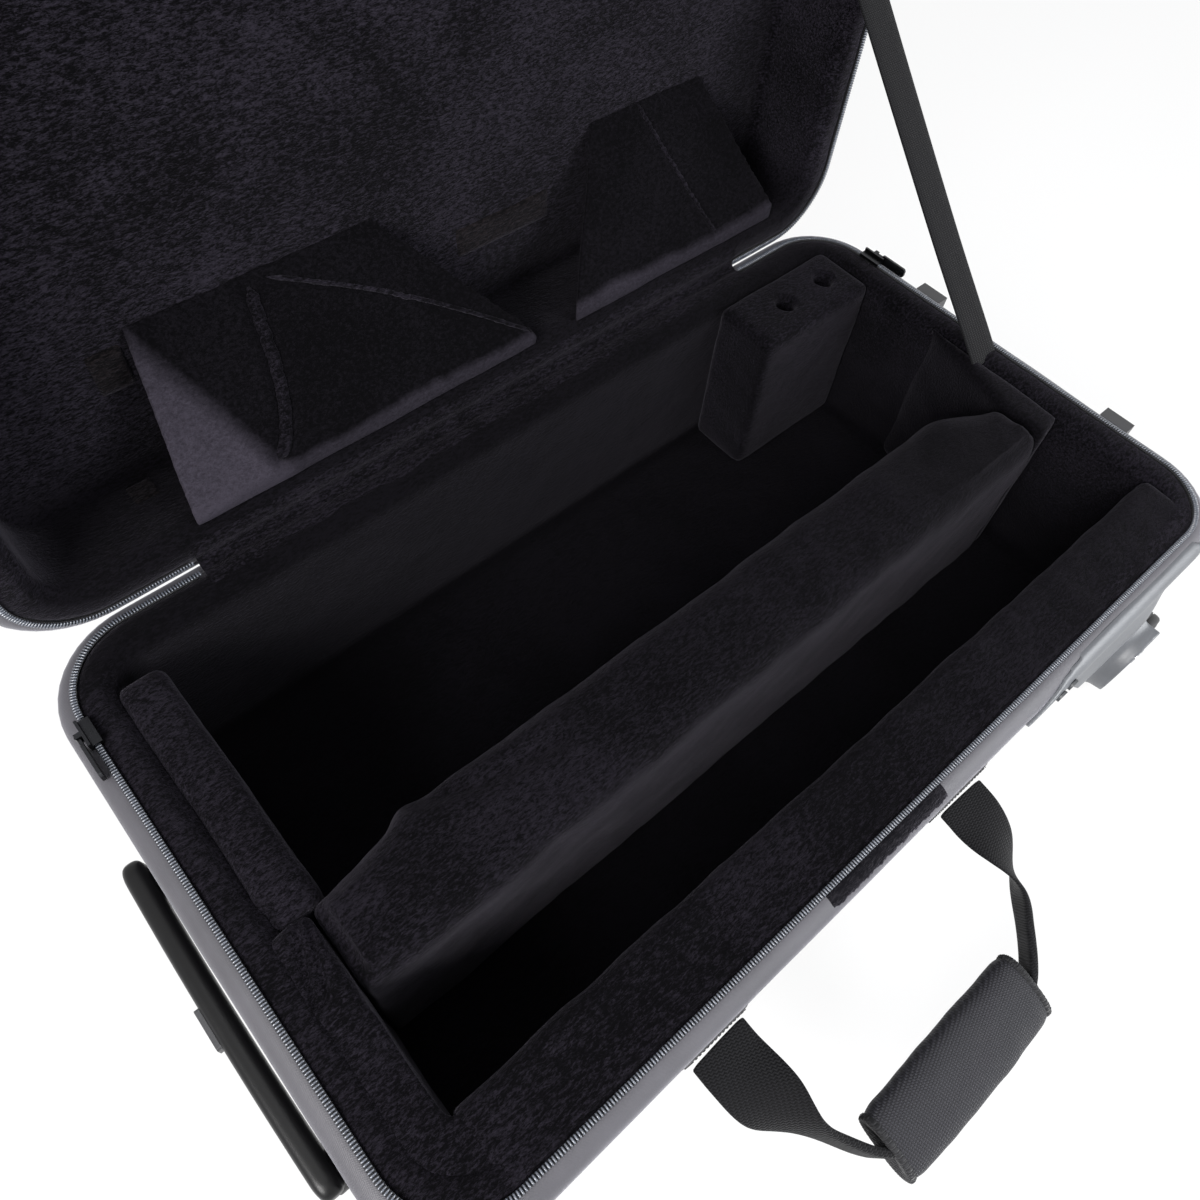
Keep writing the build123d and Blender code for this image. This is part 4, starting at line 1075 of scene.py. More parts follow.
# ------------------------------------------------------------------ the case's two halves
@dataclass
class CaseHalf:
    """Cover, lining, tape and coil of the base or the lid. Sizes in millimetres."""

    half: Half
    dresser: Dresser
    depth: float = 164.0
    edge: float = 8.0
    well: float = 122.0
    pitch: float = 1.6
    bay_start: float = 243.0
    bay_wall: float = 167.4
    bay_depth: float = 103.2
    piping_radius: float = 1.7
    floor_half: tuple[float, float] = (262.0, 137.0)
    floor_cells: tuple[int, int] = (150, 80)
    line: Outline = field(default_factory=Outline)

    def build(self) -> None:
        """Makes the half's pieces."""
        self.cover()
        self.lining()
        self.tape()
        self.coil()
        self.piping()

    def piece(self, name: str, points: np.ndarray, faces: Sequence[Sequence[int]]) -> bpy.types.Object:
        """An object of this half from rim coordinates."""
        return make_object(f"{self.half.value}_{name}", self.half.place(points), faces)

    def dress(self, made: bpy.types.Object, finish: Finish, slot: str, *nodes: str) -> None:
        """Finishes a piece that rides on this half.

        Args:
            made: The piece.
            finish: Its finish.
            slot: The record's material slot.
            nodes: Nodes of this half that it stands for, without the half's name.
        """
        self.dresser.finish(made, finish, slot, self.half.value, [f"{self.half.value}_{node}" for node in nodes])

    def shell_profile(self) -> list[tuple[float, float]]:
        """Outward offset and depth of the cover's section, lip first.

        Returns:
            The rows, in millimetres.
        """
        bottom = self.depth - self.edge
        walls = np.linspace(SHOULDER_DEPTH, bottom, int((bottom - SHOULDER_DEPTH) / 6) + 2)[1:-1]
        rows: list[tuple[float, float]] = [(-0.1, 11.0), (-0.1, 4.2), (0.0, 3.2)]
        rows += arc((0.1, SHOULDER_DEPTH), SHOULDER, -90, 0, 12)
        rows += [(COVER_OUT, d) for d in walls]
        rows += arc((COVER_OUT - self.edge, bottom), self.edge, 0, 90, 9)
        rows += [(offset, self.depth) for offset in (-8.0, -20.0, -32.0)]
        return rows

    def cover(self) -> None:
        """The nylon cover, with a recess for the wheel housings on the base."""
        runs = self.line.rounds(6.0)
        profile = self.shell_profile()
        points, faces = self.line.sweep(runs, profile, True)
        faces.append(tuple((i + 1) * len(profile) - 1 for i in range(len(runs))))
        if self.half is Half.BASE:
            out = np.abs(points[:, 1]) > self.bay_wall
            bay = (points[:, 0] > self.bay_start) & (points[:, 2] > self.bay_depth) & out
            points[bay, 1] = np.sign(points[bay, 1]) * self.bay_wall
        made = self.piece("shell_cloth", points, faces)
        rumple(made, 0.28 * MM, 0.06, 3.0)
        self.dress(made, ShellNylon(), "shell_cloth", "cover")

    def lining(self) -> None:
        """Rim band, well walls and floor in one plush skin."""
        floor = self.well
        corners = [(-1.2, 11.0), (-1.25, 6.0), (-1.7, 4.1), (-3.0, 2.8), (-5.5, 2.15), (-9.0, 1.95), (-12.5, 2.3),
                   (-14.8, 3.4), (-16.2, 5.4), (-17.2, 5.9), (-18.3, 6.6), (-19.6, 9.5), (-20.1, 14.0),
                   (-20.1, floor - 7.0), (-20.8, floor - 3.2), (-23.0, floor - 1.0), (-26.5, floor), (-34.0, floor)]
        wall = self.line.sweep(self.line.rounds(3.0), smooth_profile(corners, 3.2), True)
        xs, ys = (np.linspace(-half, half, cells) for half, cells in zip(self.floor_half, self.floor_cells))
        floor_points = np.array([(x, y, floor + 0.25) for x in xs for y in ys])
        made = self.piece("plush_lining", *joined(wall, (floor_points, grid_faces(*self.floor_cells))))
        rumple(made, 0.45 * MM, 0.022, 5.0)
        # Painted light and shade: the lid's lining is painted lighter than the base's; darker bands are painted low
        # on the lid near the hinge, down the base's well walls and floor, and along the base's back band by the
        # hinge.
        tone, painted_light_bands = 1.5, ((0.0, 0.0, -1.0, -0.222, -0.190, -0.8),)
        if self.half is Half.BASE:
            tone, painted_light_bands = 1.0, ((0.0, 0.0, -1.0, -0.150, -0.085, -0.75), (*ALONG_Y, 0.128, 0.146, -0.8))
        self.dress(made, Plush(title=f"{self.half.value}_plush", tone=tone, painted_light_bands=painted_light_bands), "plush", "lining")

    def tape(self) -> None:
        """The woven tape that stands up under the coil, and its cord."""
        runs = self.line.zip_run(4.0)
        stand = [(-0.85, 2.3), (-0.15, 2.3), (-0.15, 10.8), (-0.85, 10.8)]
        cord = [(-2.0, 1.9), (1.0, 1.9), (1.0, 2.5), (-2.0, 2.5)]
        shapes = (self.line.sweep(runs, profile, False, True) for profile in (stand, cord))
        made = self.piece("tape", *joined(*shapes))
        finish = RibbedWebbing(title="zip_tape", pitch=0.0008, dark=(0.003, 0.003, 0.004), light=(0.02, 0.02, 0.023))
        self.dress(made, finish, "zip_tape", "zip_tape")

    def coil(self) -> None:
        """The zip's teeth, each a rounded loop across the tape."""
        spots = self.line.at(self.line.zip_run(self.pitch))
        stations = ((-2.05, 0.22, 0.3), (-1.6, 0.46, 0.66), (-0.4, 0.52, 0.76), (0.7, 0.46, 0.66), (1.05, 0.2, 0.3))
        ring = [(math.cos(a), math.sin(a)) for a in np.arange(8) * math.pi / 4]
        across, along, height = np.array([(s, wide * c, high * h) for s, wide, high in stations for c, h in ring]).T
        x = spots[:, None, 0] + spots[:, None, 2] * across + spots[:, None, 3] * along
        y = spots[:, None, 1] + spots[:, None, 3] * across - spots[:, None, 2] * along
        points = np.stack([x, y, np.broadcast_to(1.6 + height, x.shape)], axis=2).reshape(-1, 3)
        tooth = tube_faces(len(stations), len(ring))
        faces = [tuple(i + k * len(across) for i in cell) for k in range(len(spots)) for cell in tooth]
        self.dress(self.piece("coil", points, faces), Coil(), "zip_coil", "zip_coil")

    def piping(self) -> None:
        """A corded welt round the shell's outer edge, drawn in where the wheel housings are."""
        runs = self.line.rounds(5.0)
        centre = (COVER_OUT - self.edge * 0.24, self.depth - self.edge * 0.24)
        points, faces = self.line.sweep(runs, arc(centre, self.piping_radius, 0, 315, 8), True, True)
        if self.half is Half.BASE:
            drawn_in = 166.0
            bay = (points[:, 0] > self.bay_start) & (np.abs(points[:, 1]) > drawn_in)
            points[bay, 1] = np.sign(points[bay, 1]) * (drawn_in + 0.1 * (np.abs(points[bay, 1]) - HALF_WIDTH))
        self.dress(self.piece("piping", points, faces), RibbedWebbing(title="piping", pitch=0.0011), "shell_cloth")


# ------------------------------------------------------------------ pads
def soft_outline(corners: Sequence[Row], radius: float) -> list[tuple[float, float]]:
    """Corner points with each corner cut by a small curve.

    Args:
        corners: The outline's corners.
        radius: How far from a corner its curve starts.

    Returns:
        The new outline.
    """
    rows: list[tuple[float, float]] = []
    count = len(corners)
    for i in range(count):
        before, here, after = (np.array(corners[(i + k) % count], float) for k in (-1, 0, 1))
        a = here + (before - here) / np.linalg.norm(before - here) * radius
        b = here + (after - here) / np.linalg.norm(after - here) * radius
        rows += [tuple((1 - t) ** 2 * a + 2 * t * (1 - t) * here + t * t * b) for t in np.linspace(0, 1, 5)]
    return rows


@dataclass
class BasePads:
    """The foam pads in the base's wells. Sizes in millimetres, heights above the ground."""

    dresser: Dresser
    floor: float = 48.5
    top: float = 167.0

    def pad(self, name: str, corners: Sequence[Row], node: str, top: float, corner: float, edge: float, lay: float,
            rumples: float = 0.8, tone: float = 1.15) -> bpy.types.Object:
        """Makes one upright pad.

        Args:
            name: Name of the piece.
            corners: Outline corners, anticlockwise.
            node: The CAD node it stands for.
            top: Height of the top.
            corner: Radius of the upright corners.
            edge: Radius of the top edge.
            lay: Direction of the pile.
            rumples: Height of the plush's unevenness.
            tone: Lightness of the pile, painted light and shade for how much light the pad gets; a painted band also
                darkens it towards the wheel end, away from the light.

        Returns:
            The pad.
        """
        made = cushion(name, stuffed(soft_outline(corners, corner), self.floor, top, edge), 2.4, 5)
        rumple(made, rumples * MM, 0.035, lay * 7)
        # Painted shade: the pad darkens towards the wheel end, where less light falls.
        painted_light_bands = ((*ALONG_X, -0.28, 0.26, -0.7),)
        finish = Plush(title=f"{name}_plush", lay=(0.0, 0.0, lay), tone=tone, painted_light_bands=painted_light_bands)
        return self.dresser.finish(made, finish, "plush", "base", [node])

    @staticmethod
    def seam(pad: bpy.types.Object, rows: Sequence[Row], groove: float, width: float, ridge: float = 0.0) -> None:
        """Presses a seam into a pad.

        Args:
            pad: The pad.
            rows: The seam's points, in millimetres.
            groove: Depth of the groove.
            width: Half width of the groove.
            ridge: Height of a welt along the middle.
        """
        seamed(pad, np.array(rows) * MM, groove * MM, width * MM, ridge * MM)

    def build(self) -> None:
        """Makes every pad of the base."""
        corners = [(-272, -20), (-247, -20), (-246.5, 131), (-272, 131)]
        end = self.pad("left_end_cushion", corners, "left_end_pad", self.top, corner=5, edge=7, lay=1.2)
        self.seam(end, [(-272, -12, 167), (-258, -14, 168), (-246, -10, 166)], 2.5, 4.0)
        corners = [(-281, -21), (-281, -118), (-276, -139), (-264, -153), (-246, -160), (-246, -127), (-256.8, -127),
                   (-256.8, -21)]
        block = self.pad("front_left_cushion", corners, "front_left_block", self.top + 0.4,
                         corner=3, edge=5, lay=1.4, rumples=1.0)
        self.seam(block, [(-260.5, -24, 167.5), (-266.5, -40, 167.5), (-271, -56, 167.5)], 2.2, 1.6, 1.0)
        corners = [(-256.4, -165.5), (264, -165.5), (272, -150), (271, -124), (-256.4, -124)]
        front = self.pad("front_cushion", corners, "front_pad", self.top + 1.0,
                         corner=4, edge=7, lay=0.15, rumples=1.2)
        self.seam(front, [(-250, -163.5, 167.5), (260, -163.5, 167.5)], 1.2, 1.6)
        self.divider()
        corners = [(249.3, -65), (270.5, -61), (271.5, 45), (266, 28), (249.3, -29)]
        self.pad("gusset_cushion", corners, "right_gusset_pad", self.top + 0.8, corner=2, edge=4, lay=1.0)
        self.mouthpiece_block()

    def divider(self) -> None:
        """The long pad between the wells: swollen towards the hinge, folded at its left end."""
        corners = [(-256, -66), (249, -65), (249, -30), (204, -8), (-150, -8), (-186, -9), (-198, -5), (-208, -11),
                   (-256, -19)]
        # tone 0.95 paints the divider a little darker than the other pads, as painted shade.
        made = self.pad("divider_cushion", corners, "divider_pad", RIM + 0.5,
                        corner=5, edge=17, lay=0.1, rumples=1.2, tone=0.95)
        top = RIM + 1.0
        edge = top - 4.0
        self.seam(made, [(-198, -3, edge), (-186, -12, top), (-160, -24, top), (-120, -30, top)], 3.2, 4.5)
        self.seam(made, [(-253.5, -60, edge), (-253.5, -24, edge)], 1.6, 1.8, 1.2)
        self.seam(made, [(244, -60, edge), (244, -34, edge)], 1.4, 1.8)

    def mouthpiece_block(self) -> None:
        """The block with two mouthpiece holes."""
        corners = [(167, 97), (271, 97), (271, 145), (167, 145)]
        made = cushion("mouthpiece_cushion", stuffed(soft_outline(corners, 5), self.floor, self.top, 6), 2.2, 5)
        rumple(made, 0.5 * MM, 0.03, 2.0)
        profile = [(0.01, 0.0), (6.3, 0.0), (6.3, 56.0), (7.6, 58.5), (9.5, 60.5), (0.01, 62.0)]
        bore, faces = lathe(profile, (0.0, 0.0), 40)
        bore = bore[:, [0, 2, 1]]
        holes = [(bore + np.array((*spot, self.top - 60.0)) * MM, faces) for spot in ((208.0, 121.0), (248.0, 122.0))]
        cutter = make_object("hole_cutter", *joined(*holes))
        shaped(made, ("BOOLEAN", {"object": cutter, "operation": "DIFFERENCE", "solver": "EXACT"}))
        bpy.data.objects.remove(cutter)
        self.dresser.finish(
            made, Plush(title="block_plush", lay=(0.0, 0.0, 0.8)), "plush", "base", ["mouthpiece_block"])


@dataclass
class LidPads:
    """Wedge pads with their welts, and loop patches. Rim coordinates in millimetres."""

    dresser: Dresser
    board: float = 58.0
    foot: float = 4.0
    ledge: float = 58.0
    front: float = 145.0
    wall: float = 145.3

    def wedge(self, name: str, node: str, rim: Row, board: Row, stand: Row, keel: float,
              painted_light_bands: tuple[tuple[float, ...], ...]) -> bpy.types.Object:
        """Makes one wedge pad.

        Args:
            name: Name of the piece.
            node: The CAD node it stands for.
            rim: Ends of the pad at the rim.
            board: Ends of the pad on the board.
            stand: How far the pad stands off the wall at the rim: at its start, its keel and its end.
            keel: How far from the start its edge turns.
            painted_light_bands: Bands of painted light and shade laid over the pad's plush.

        Returns:
            The pad.
        """
        (start, end), (near, far) = rim, board
        front = [(x, self.front - off, self.foot) for x, off in zip((start, start + keel, end), stand)]
        points = front + [(end, self.wall, self.foot), (start, self.wall, self.foot)]
        points += [(x, y, self.board) for x, y in (
            (near, self.ledge), (far, self.ledge), (far, self.wall), (near, self.wall))]
        faces = [(4, 3, 2, 1, 0), (5, 6, 7, 8), (0, 1, 5), (1, 2, 6, 5), (2, 3, 7, 6), (3, 4, 8, 7), (4, 0, 5, 8)]
        made = cushion(name, (Half.LID.place(points), faces), 1.5, 6)
        rumple(made, 0.7 * MM, 0.04, 4.0)
        # tone 0.36 is painted shade: the wedge's top is painted darker than the lid's lining.
        finish = Plush(title=f"{name}_plush", lay=(0.5, 0.0, 0.9), stretch=(0.5, 1.0, 0.7), tone=0.36, painted_light_bands=painted_light_bands)
        return self.dresser.finish(made, finish, "plush", "lid", [node])

    def welt(self, name: str, pad: bpy.types.Object, line: Sequence[Row], radius: float, tone: float) -> None:
        """Sews a corded welt onto a pad.

        Args:
            name: Name of the piece.
            pad: The pad it lies on.
            line: Its run in rim coordinates.
            radius: Radius of the cord, in millimetres.
            tone: Lightness of its pile, painted light and shade for how much light the welt catches.
        """
        count, ring = 60, 10
        spots = []
        for spot in through(Half.LID.place(line), count):
            _, near, normal, _ = pad.closest_point_on_mesh(Vector(spot))
            spots.append((np.array(near), np.array(normal)))
        rows = []
        for k, (near, normal) in enumerate(spots):
            along = spots[min(k + 1, count - 1)][0] - spots[max(k - 1, 0)][0]
            across = np.cross(along / np.linalg.norm(along), normal)
            end = min(1.0, min(k, count - 1 - k) / 4 + 0.25) * radius * MM
            for a in np.arange(ring) * 2 * math.pi / ring:
                rows.append(near + across * (end * math.cos(a) * 1.15) + normal * (end * (0.35 + math.sin(a) * 0.8)))
        made = make_object(name, np.array(rows), tube_faces(count, ring))
        rumple(made, 0.25 * MM, 0.006, 3.0)
        self.dresser.finish(made, Plush(title=f"{name}_plush", lay=(0.3, 0.0, 1.2), tone=tone), "plush", "lid")

    def build(self) -> None:
        """Makes the pads and patches."""
        # Painted highlights: the wedges' foot edge and the left wedge's left end are painted lighter, where light
        # falls on them.
        painted_lit_foot = (0.0, 0.0, -1.0, -0.2035, -0.1985, 0.62)
        left_end = (-0.902, 0.0, -0.432, 0.037, 0.047, 1.0)
        left = self.wedge("left_wedge", "left_lid_pad", rim=(-195, 33), board=(-177, -38), stand=(4, 12, 8), keel=53,
                          painted_light_bands=(painted_lit_foot, left_end))
        right = self.wedge("right_wedge", "right_lid_pad", rim=(61, 240), board=(114, 205), stand=(8, 8, 10), keel=20,
                           painted_light_bands=(painted_lit_foot,))
        fold = [(-114, 64, 53), (-117, 79, 43), (-122, 100, 28), (-131, 119, 14), (-141, 131, 6)]
        # The last column is each welt's tone: painted light, set by how much light the welt catches.
        for name, pad, line, groove, radius, tone in (
                ("left_wedge_welt", left, fold, 2.6, 3.0, 1.0),
                ("left_wedge_seam", left, [(-104, 62, 54), (-40, 92, 33), (31, 136, 5)], 1.5, 1.2, 1.4),
                ("right_wedge_seam", right, [(150, 57, 57), (168, 98, 29), (185, 135, 5)], 1.5, 1.2, 1.1)):
            seamed(pad, Half.LID.place(line), groove * MM, radius * 1.3 * MM)
            self.welt(name, pad, line, radius, tone)
        self.patches()

    def patches(self) -> None:
        """Loop patches on the lid's lining, for movable fittings: two on the board, one on the hinge wall."""
        shapes = []
        for x, y, long, wide in ((-190.0, 79.0, 18.0, 26.0), (48.0, 99.0, 70.0, 20.0)):
            xs, ys = np.linspace(x - long / 2, x + long / 2, 24), np.linspace(y - wide / 2, y + wide / 2, 12)
            points = [(a, b, self.board - 0.9 + 1.6 * max(abs(a - x) / (long / 2), abs(b - y) / (wide / 2)) ** 12)
                      for a in xs for b in ys]
            shapes.append((Half.LID.place(points), grid_faces(24, 12)))
        x, depth, half_x, half_depth = -205.0, 44.0, 7.5, 7.0
        xs, ds = (np.linspace(m - half, m + half, 12) for m, half in ((x, half_x), (depth, half_depth)))
        points = [(a, 144.0 + 1.4 * max(abs(a - x) / half_x, abs(d - depth) / half_depth) ** 12, d)
                  for a in xs for d in ds]
        shapes.append((Half.LID.place(points), grid_faces(12, 12)))
        made = make_object("loop_patches", *joined(*shapes))
        finish = Plush(title="loop_nap", dark=(0.001, 0.0008, 0.001), light=(0.012, 0.0095, 0.0105), sheen=0.12)
        self.dresser.finish(made, finish, "plush", "lid", ["lid_loop_patches"])


# ------------------------------------------------------------------ cloth that joins the halves
@dataclass
class HingeCloth:
    """The strap that stops the lid, and the plush gusset inside the hinge. Sizes in millimetres."""

    dresser: Dresser
    strap_x: float = 275.0
    strap_half: float = 12.5
    strap_thick: float = 0.8

    def build(self) -> None:
        """Makes the pieces that bridge base and lid."""
        self.strap()
        self.gusset()

    def strap(self) -> None:
        """Webbing strap, sewn down to the rim band at both ends."""
        line = through([(self.strap_x, y, RIM + z) for y, z in (
            (3.0, -5.0), (6.0, 0.5), (60.0, 53.0), (120.0, 113.5), (168.0, 162.5), (172.5, 167.0))], 60) * MM
        count = len(line)
        across = np.tile(ALONG_X, (count, 1))
        widths, thicks = np.full(count, self.strap_half * MM), np.full(count, self.strap_thick * MM)
        made = make_object("strap_webbing", *ribbon(line, across, widths, thicks))
        self.dresser.finish(made, StrapWebbing(), "webbing", "", ["lid_strap"])
        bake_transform(made)

    def gusset(self) -> None:
        """Plush strip that covers the hinge from inside, with two soft creases."""
        section = through([(y, RIM + z) for y, z in (
            (154, -2.6), (158, -1.4), (162.5, -1.6), (165.5, -2.4), (167.8, -1.4), (169.6, 0.6), (170.0, 3.5),
            (169.4, 6.5), (169.8, 10.5), (171.0, 13.5))], 30)
        xs = np.linspace(-203, 203, 136)
        points = np.array([(x, y, z) for x in xs for y, z in section]) * MM
        made = make_object("hinge_plush", points, grid_faces(len(xs), len(section)))
        rumple(made, 0.35 * MM, 0.03, 8.0)
        self.dresser.finish(made, Plush(title="hinge_plush_pile"), "plush", "", ["hinge_gusset"])
        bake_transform(made)


# ------------------------------------------------------------------ carry handle
@dataclass
class CarryHandle:
    """Webbing legs that twist and fold, and the padded wrap. Sizes in millimetres.

    leg_half and leg_thick are the webbing's half width and half thickness, flat at the root and folded in the wrap.
    """

    dresser: Dresser
    middle: float = -42.0
    spread: float = 98.0
    droop: float = 21.5
    out: float = 98.0
    leg_half: tuple[float, float] = (18.0, 8.2)
    leg_thick: tuple[float, float] = (0.85, 2.35)
    wrap_end: float = 60.0
    wrap_half: float = 21.5
    wrap_thick: float = 9.3
    wrap_powers: tuple[float, float] = (0.72, 0.8)
    patch_half: tuple[float, float] = (21.0, 17.0)
    stitch_half: tuple[float, float] = (18.0, 14.0)
    origin: tuple[float, float] = (-177.8, RIM - 76.0)

    def spot(self, u: float, v: float, w: float = 0.0) -> tuple[float, float, float]:
        """A point of the handle in the case's frame, in millimetres.

        Args:
            u: Along X from the handle's middle.
            v: Outwards along the hanging handle.
            w: Above the handle's plane.

        Returns:
            x, y and z.
        """
        c, s = math.cos(math.radians(self.droop)), math.sin(math.radians(self.droop))
        return (self.middle + u, self.origin[0] - v * c - w * s, self.origin[1] - v * s + w * c)

    def build(self) -> None:
        """Makes legs, wrap, bindings and patches."""
        self.legs()
        self.wrap()
        self.bindings()
        self.patches()

    def legs(self) -> None:
        """Both legs, from the flat root through a quarter twist to the folded run in the wrap."""
        shapes = []
        count = 70
        share = np.linspace(0, 1, count)
        turn = eased(share, 0.12, 0.42) * math.radians(72)
        fold = eased(share, 0.3, 0.28)
        tilt = math.radians(self.droop)
        flat = np.tile(ALONG_X, (count, 1))
        edge = np.tile((0.0, math.sin(tilt), -math.cos(tilt)), (count, 1))
        path = ((self.spread, 0, 0), (97.5, 14, 3), (95, 34, 7), (89, 54, 8), (79, 73, 6), (69, 90, 2.5),
                (61, 98.5, 0), (50, 99.5, 0))
        for side in (-1, 1):
            line = through([self.spot(side * u, v, w) for u, v, w in path], count) * MM
            across = flat * np.cos(turn)[:, None] * side + edge * np.sin(turn)[:, None]
            widths, thicks = ((flat_size + (folded - flat_size) * fold) * MM
                              for flat_size, folded in (self.leg_half, self.leg_thick))
            shapes.append(ribbon(line, across, widths, thicks))
        made = make_object("handle_legs", *joined(*shapes))
        shaped(made, ("SUBSURF", {"levels": 1}))
        finish = StrapWebbing(title="leg_webbing", run=(0.35, 0.85, 0.35), across=(0.9, -0.4, 0.1), pitch=0.0015)
        self.dresser.finish(made, finish, "webbing", "carry_handle", ["carry_handle_webbing"])

    def wrap(self) -> None:
        """The padded wrap."""
        rows, columns = [], 40
        stations = np.linspace(-self.wrap_end, self.wrap_end, 61)
        for u in stations:
            end = max(0.0, (abs(u) - 50) / 10)
            bow = (u / self.wrap_end) ** 2
            crown = 1 - 0.10 * end ** 2 - 0.05 * bow
            for step in range(columns):
                c, s = squared_circle(step, columns, self.wrap_powers)
                rows.append(self.spot(
                    u, self.out + self.wrap_half * crown * c, self.wrap_thick * crown * s + 1.2 * (1 - bow)))
        made = make_object("handle_wrap", np.array(rows) * MM, grid_faces(len(stations), columns, False, True))
        rumple(made, 0.5 * MM, 0.02, 6.0)
        self.dresser.finish(made, BasketNylon(), "webbing", "carry_handle", ["carry_handle_wrap"])

    def bindings(self) -> None:
        """Ribbed bindings round the wrap's ends, drawn in at their inner edge."""
        bands, steps = [], 120
        profile = ((57.0, 0.3), (57.6, 1.1), (59.4, 1.5), (61.0, 0.9), (61.2, -0.5), (60.6, -3.0), (58.8, -9.5))
        for side in (-1, 1):
            rows = []
            for step in range(steps):
                c, s = squared_circle(step, steps, self.wrap_powers)
                rib = 0.35 * math.cos(step * math.pi * 0.8)
                for place, grow in profile:
                    pinch = 0.5 if grow < -5 else 1.0
                    flat, thick = ((half * 0.85 + grow + rib) * v * pinch for half, v in (
                        (self.wrap_half, c), (self.wrap_thick, s)))
                    rows.append(self.spot(side * place, self.out + flat, thick))
            bands.append((np.array(rows) * MM, grid_faces(steps, len(profile), True)))
        binding = make_object("wrap_bindings", *joined(*bands))
        finish = RibbedWebbing(title="binding", run=(0.2, 0.7, 0.7), pitch=0.0016)
        self.dresser.finish(binding, finish, "webbing", "carry_handle")

    def patches(self) -> None:
        """Reinforcing patches at the roots, with box stitching."""
        shapes, lines = [], []
        (half_x, half_z), (sewn_x, sewn_z) = self.patch_half, self.stitch_half
        middle = self.origin[1]
        for side in (-1, 1):
            x = self.middle + side * self.spread
            xs, zs = np.linspace(x - half_x, x + half_x, 22), np.linspace(middle - half_z, middle + half_z, 18)
            rows = [(a, -176.4 + 1.2 * max(abs(a - x) / half_x, abs(b - middle) / half_z) ** 10, b)
                    for a in xs for b in zs]
            shapes.append((np.array(rows) * MM, grid_faces(len(xs), len(zs))))
            box = ((-1, -1), (1, -1), (1, 1), (-1, 1), (-1, -1), (1, 1))
            lines.append([((x + a * sewn_x) * MM, -176.45 * MM, (middle + b * sewn_z) * MM) for a, b in box])
        made = make_object("root_patches", *joined(*shapes))
        self.dresser.finish(made, RibbedWebbing(title="patch_webbing"), "webbing", "base", ["handle_patches"])
        thread = stitches("patch_stitches", lines)
        self.dresser.finish(thread, Moulded(title="thread", colour=(0.03, 0.03, 0.033)), "webbing", "base")


# ------------------------------------------------------------------ wheels and trolley
@dataclass
class Wheels:
    """Soft tyres and moulded hubs. Sizes in millimetres."""

    dresser: Dresser
    axle: tuple[float, float] = (279.0, 32.0)
    radius: float = 30.0
    hub_radius: float = 21.0
    inner: float = 172.2
    outer: float = 191.8

    def build(self) -> None:
        """Makes a tyre and a hub on each side."""
        for side, body in ((-1, "front_wheel"), (1, "back_wheel")):
            self.tyre(side, body)
            self.hub(side, body)

    def tyre(self, side: int, body: str) -> None:
        """Tyre with rounded shoulders and two fine grooves.

        Args:
            side: -1 in front, 1 at the back.
            body: The wheel's body.
        """
        r, h, a, b = self.radius, self.hub_radius + 0.2, self.inner, self.outer
        first = [(h, 0.0), (r - 6, 0.0), (r - 4.5, 0.5), (r - 1.8, 0.9), (r - 0.5, 2.2), (r, 4.4), (r, 6.6),
                 (r - 0.8, 6.9), (r - 0.8, 7.3), (r, 7.6)]
        profile = [(p, a + y) for p, y in first] + [(p, b - y) for p, y in reversed(first)]
        points, faces = lathe([(p, side * y) for p, y in profile], self.axle, 96)
        made = make_object(f"{body}_rubber", points, faces)
        finish = Moulded(title="rubber", colour=(0.010, 0.010, 0.011), roughness=0.55)
        self.dresser.finish(made, finish, "tyre", body, [f"{body}_tyre"])

    def hub(self, side: int, body: str) -> None:
        """Hub with a dished web and six ribs.

        Args:
            side: -1 in front, 1 at the back.
            body: The wheel's body.
        """
        a, b, h = self.inner + 0.4, self.outer - 0.4, self.hub_radius
        first = [(11.2, 0.0), (13.0, 0.0), (13.6, 3.5), (h - 2.6, 4.0), (h - 1.8, 0.0), (h, 0.0)]
        profile = [(p, a + y) for p, y in first] + [(p, b - y) for p, y in reversed(first)]
        shapes = [lathe([(p, side * y) for p, y in profile], self.axle, 96)]
        for angle in np.arange(6) * math.pi / 3:
            c, s = math.cos(angle), math.sin(angle)
            rows = [(self.axle[0] + c * out - s * wide, side * y, self.axle[1] + s * out + c * wide)
                    for y in (a + 0.6, b - 0.6)
                    for out, wide in ((12.8, -1.3), (19.0, -1.0), (19.0, 1.0), (12.8, 1.3))]
            cells = [(0, 1, 2, 3), (7, 6, 5, 4), (0, 4, 5, 1), (1, 5, 6, 2), (2, 6, 7, 3), (3, 7, 4, 0)]
            shapes.append((np.array(rows) * MM, cells))
        made = make_object(f"{body}_hub_moulding", *joined(*shapes))
        shaped(made, ("EDGE_SPLIT", {"split_angle": math.radians(35)}))
        finish = Moulded(title="hub", colour=(0.06, 0.061, 0.064), roughness=0.32)
        self.dresser.finish(made, finish, "hub_plastic", body, [f"{body}_hub"])


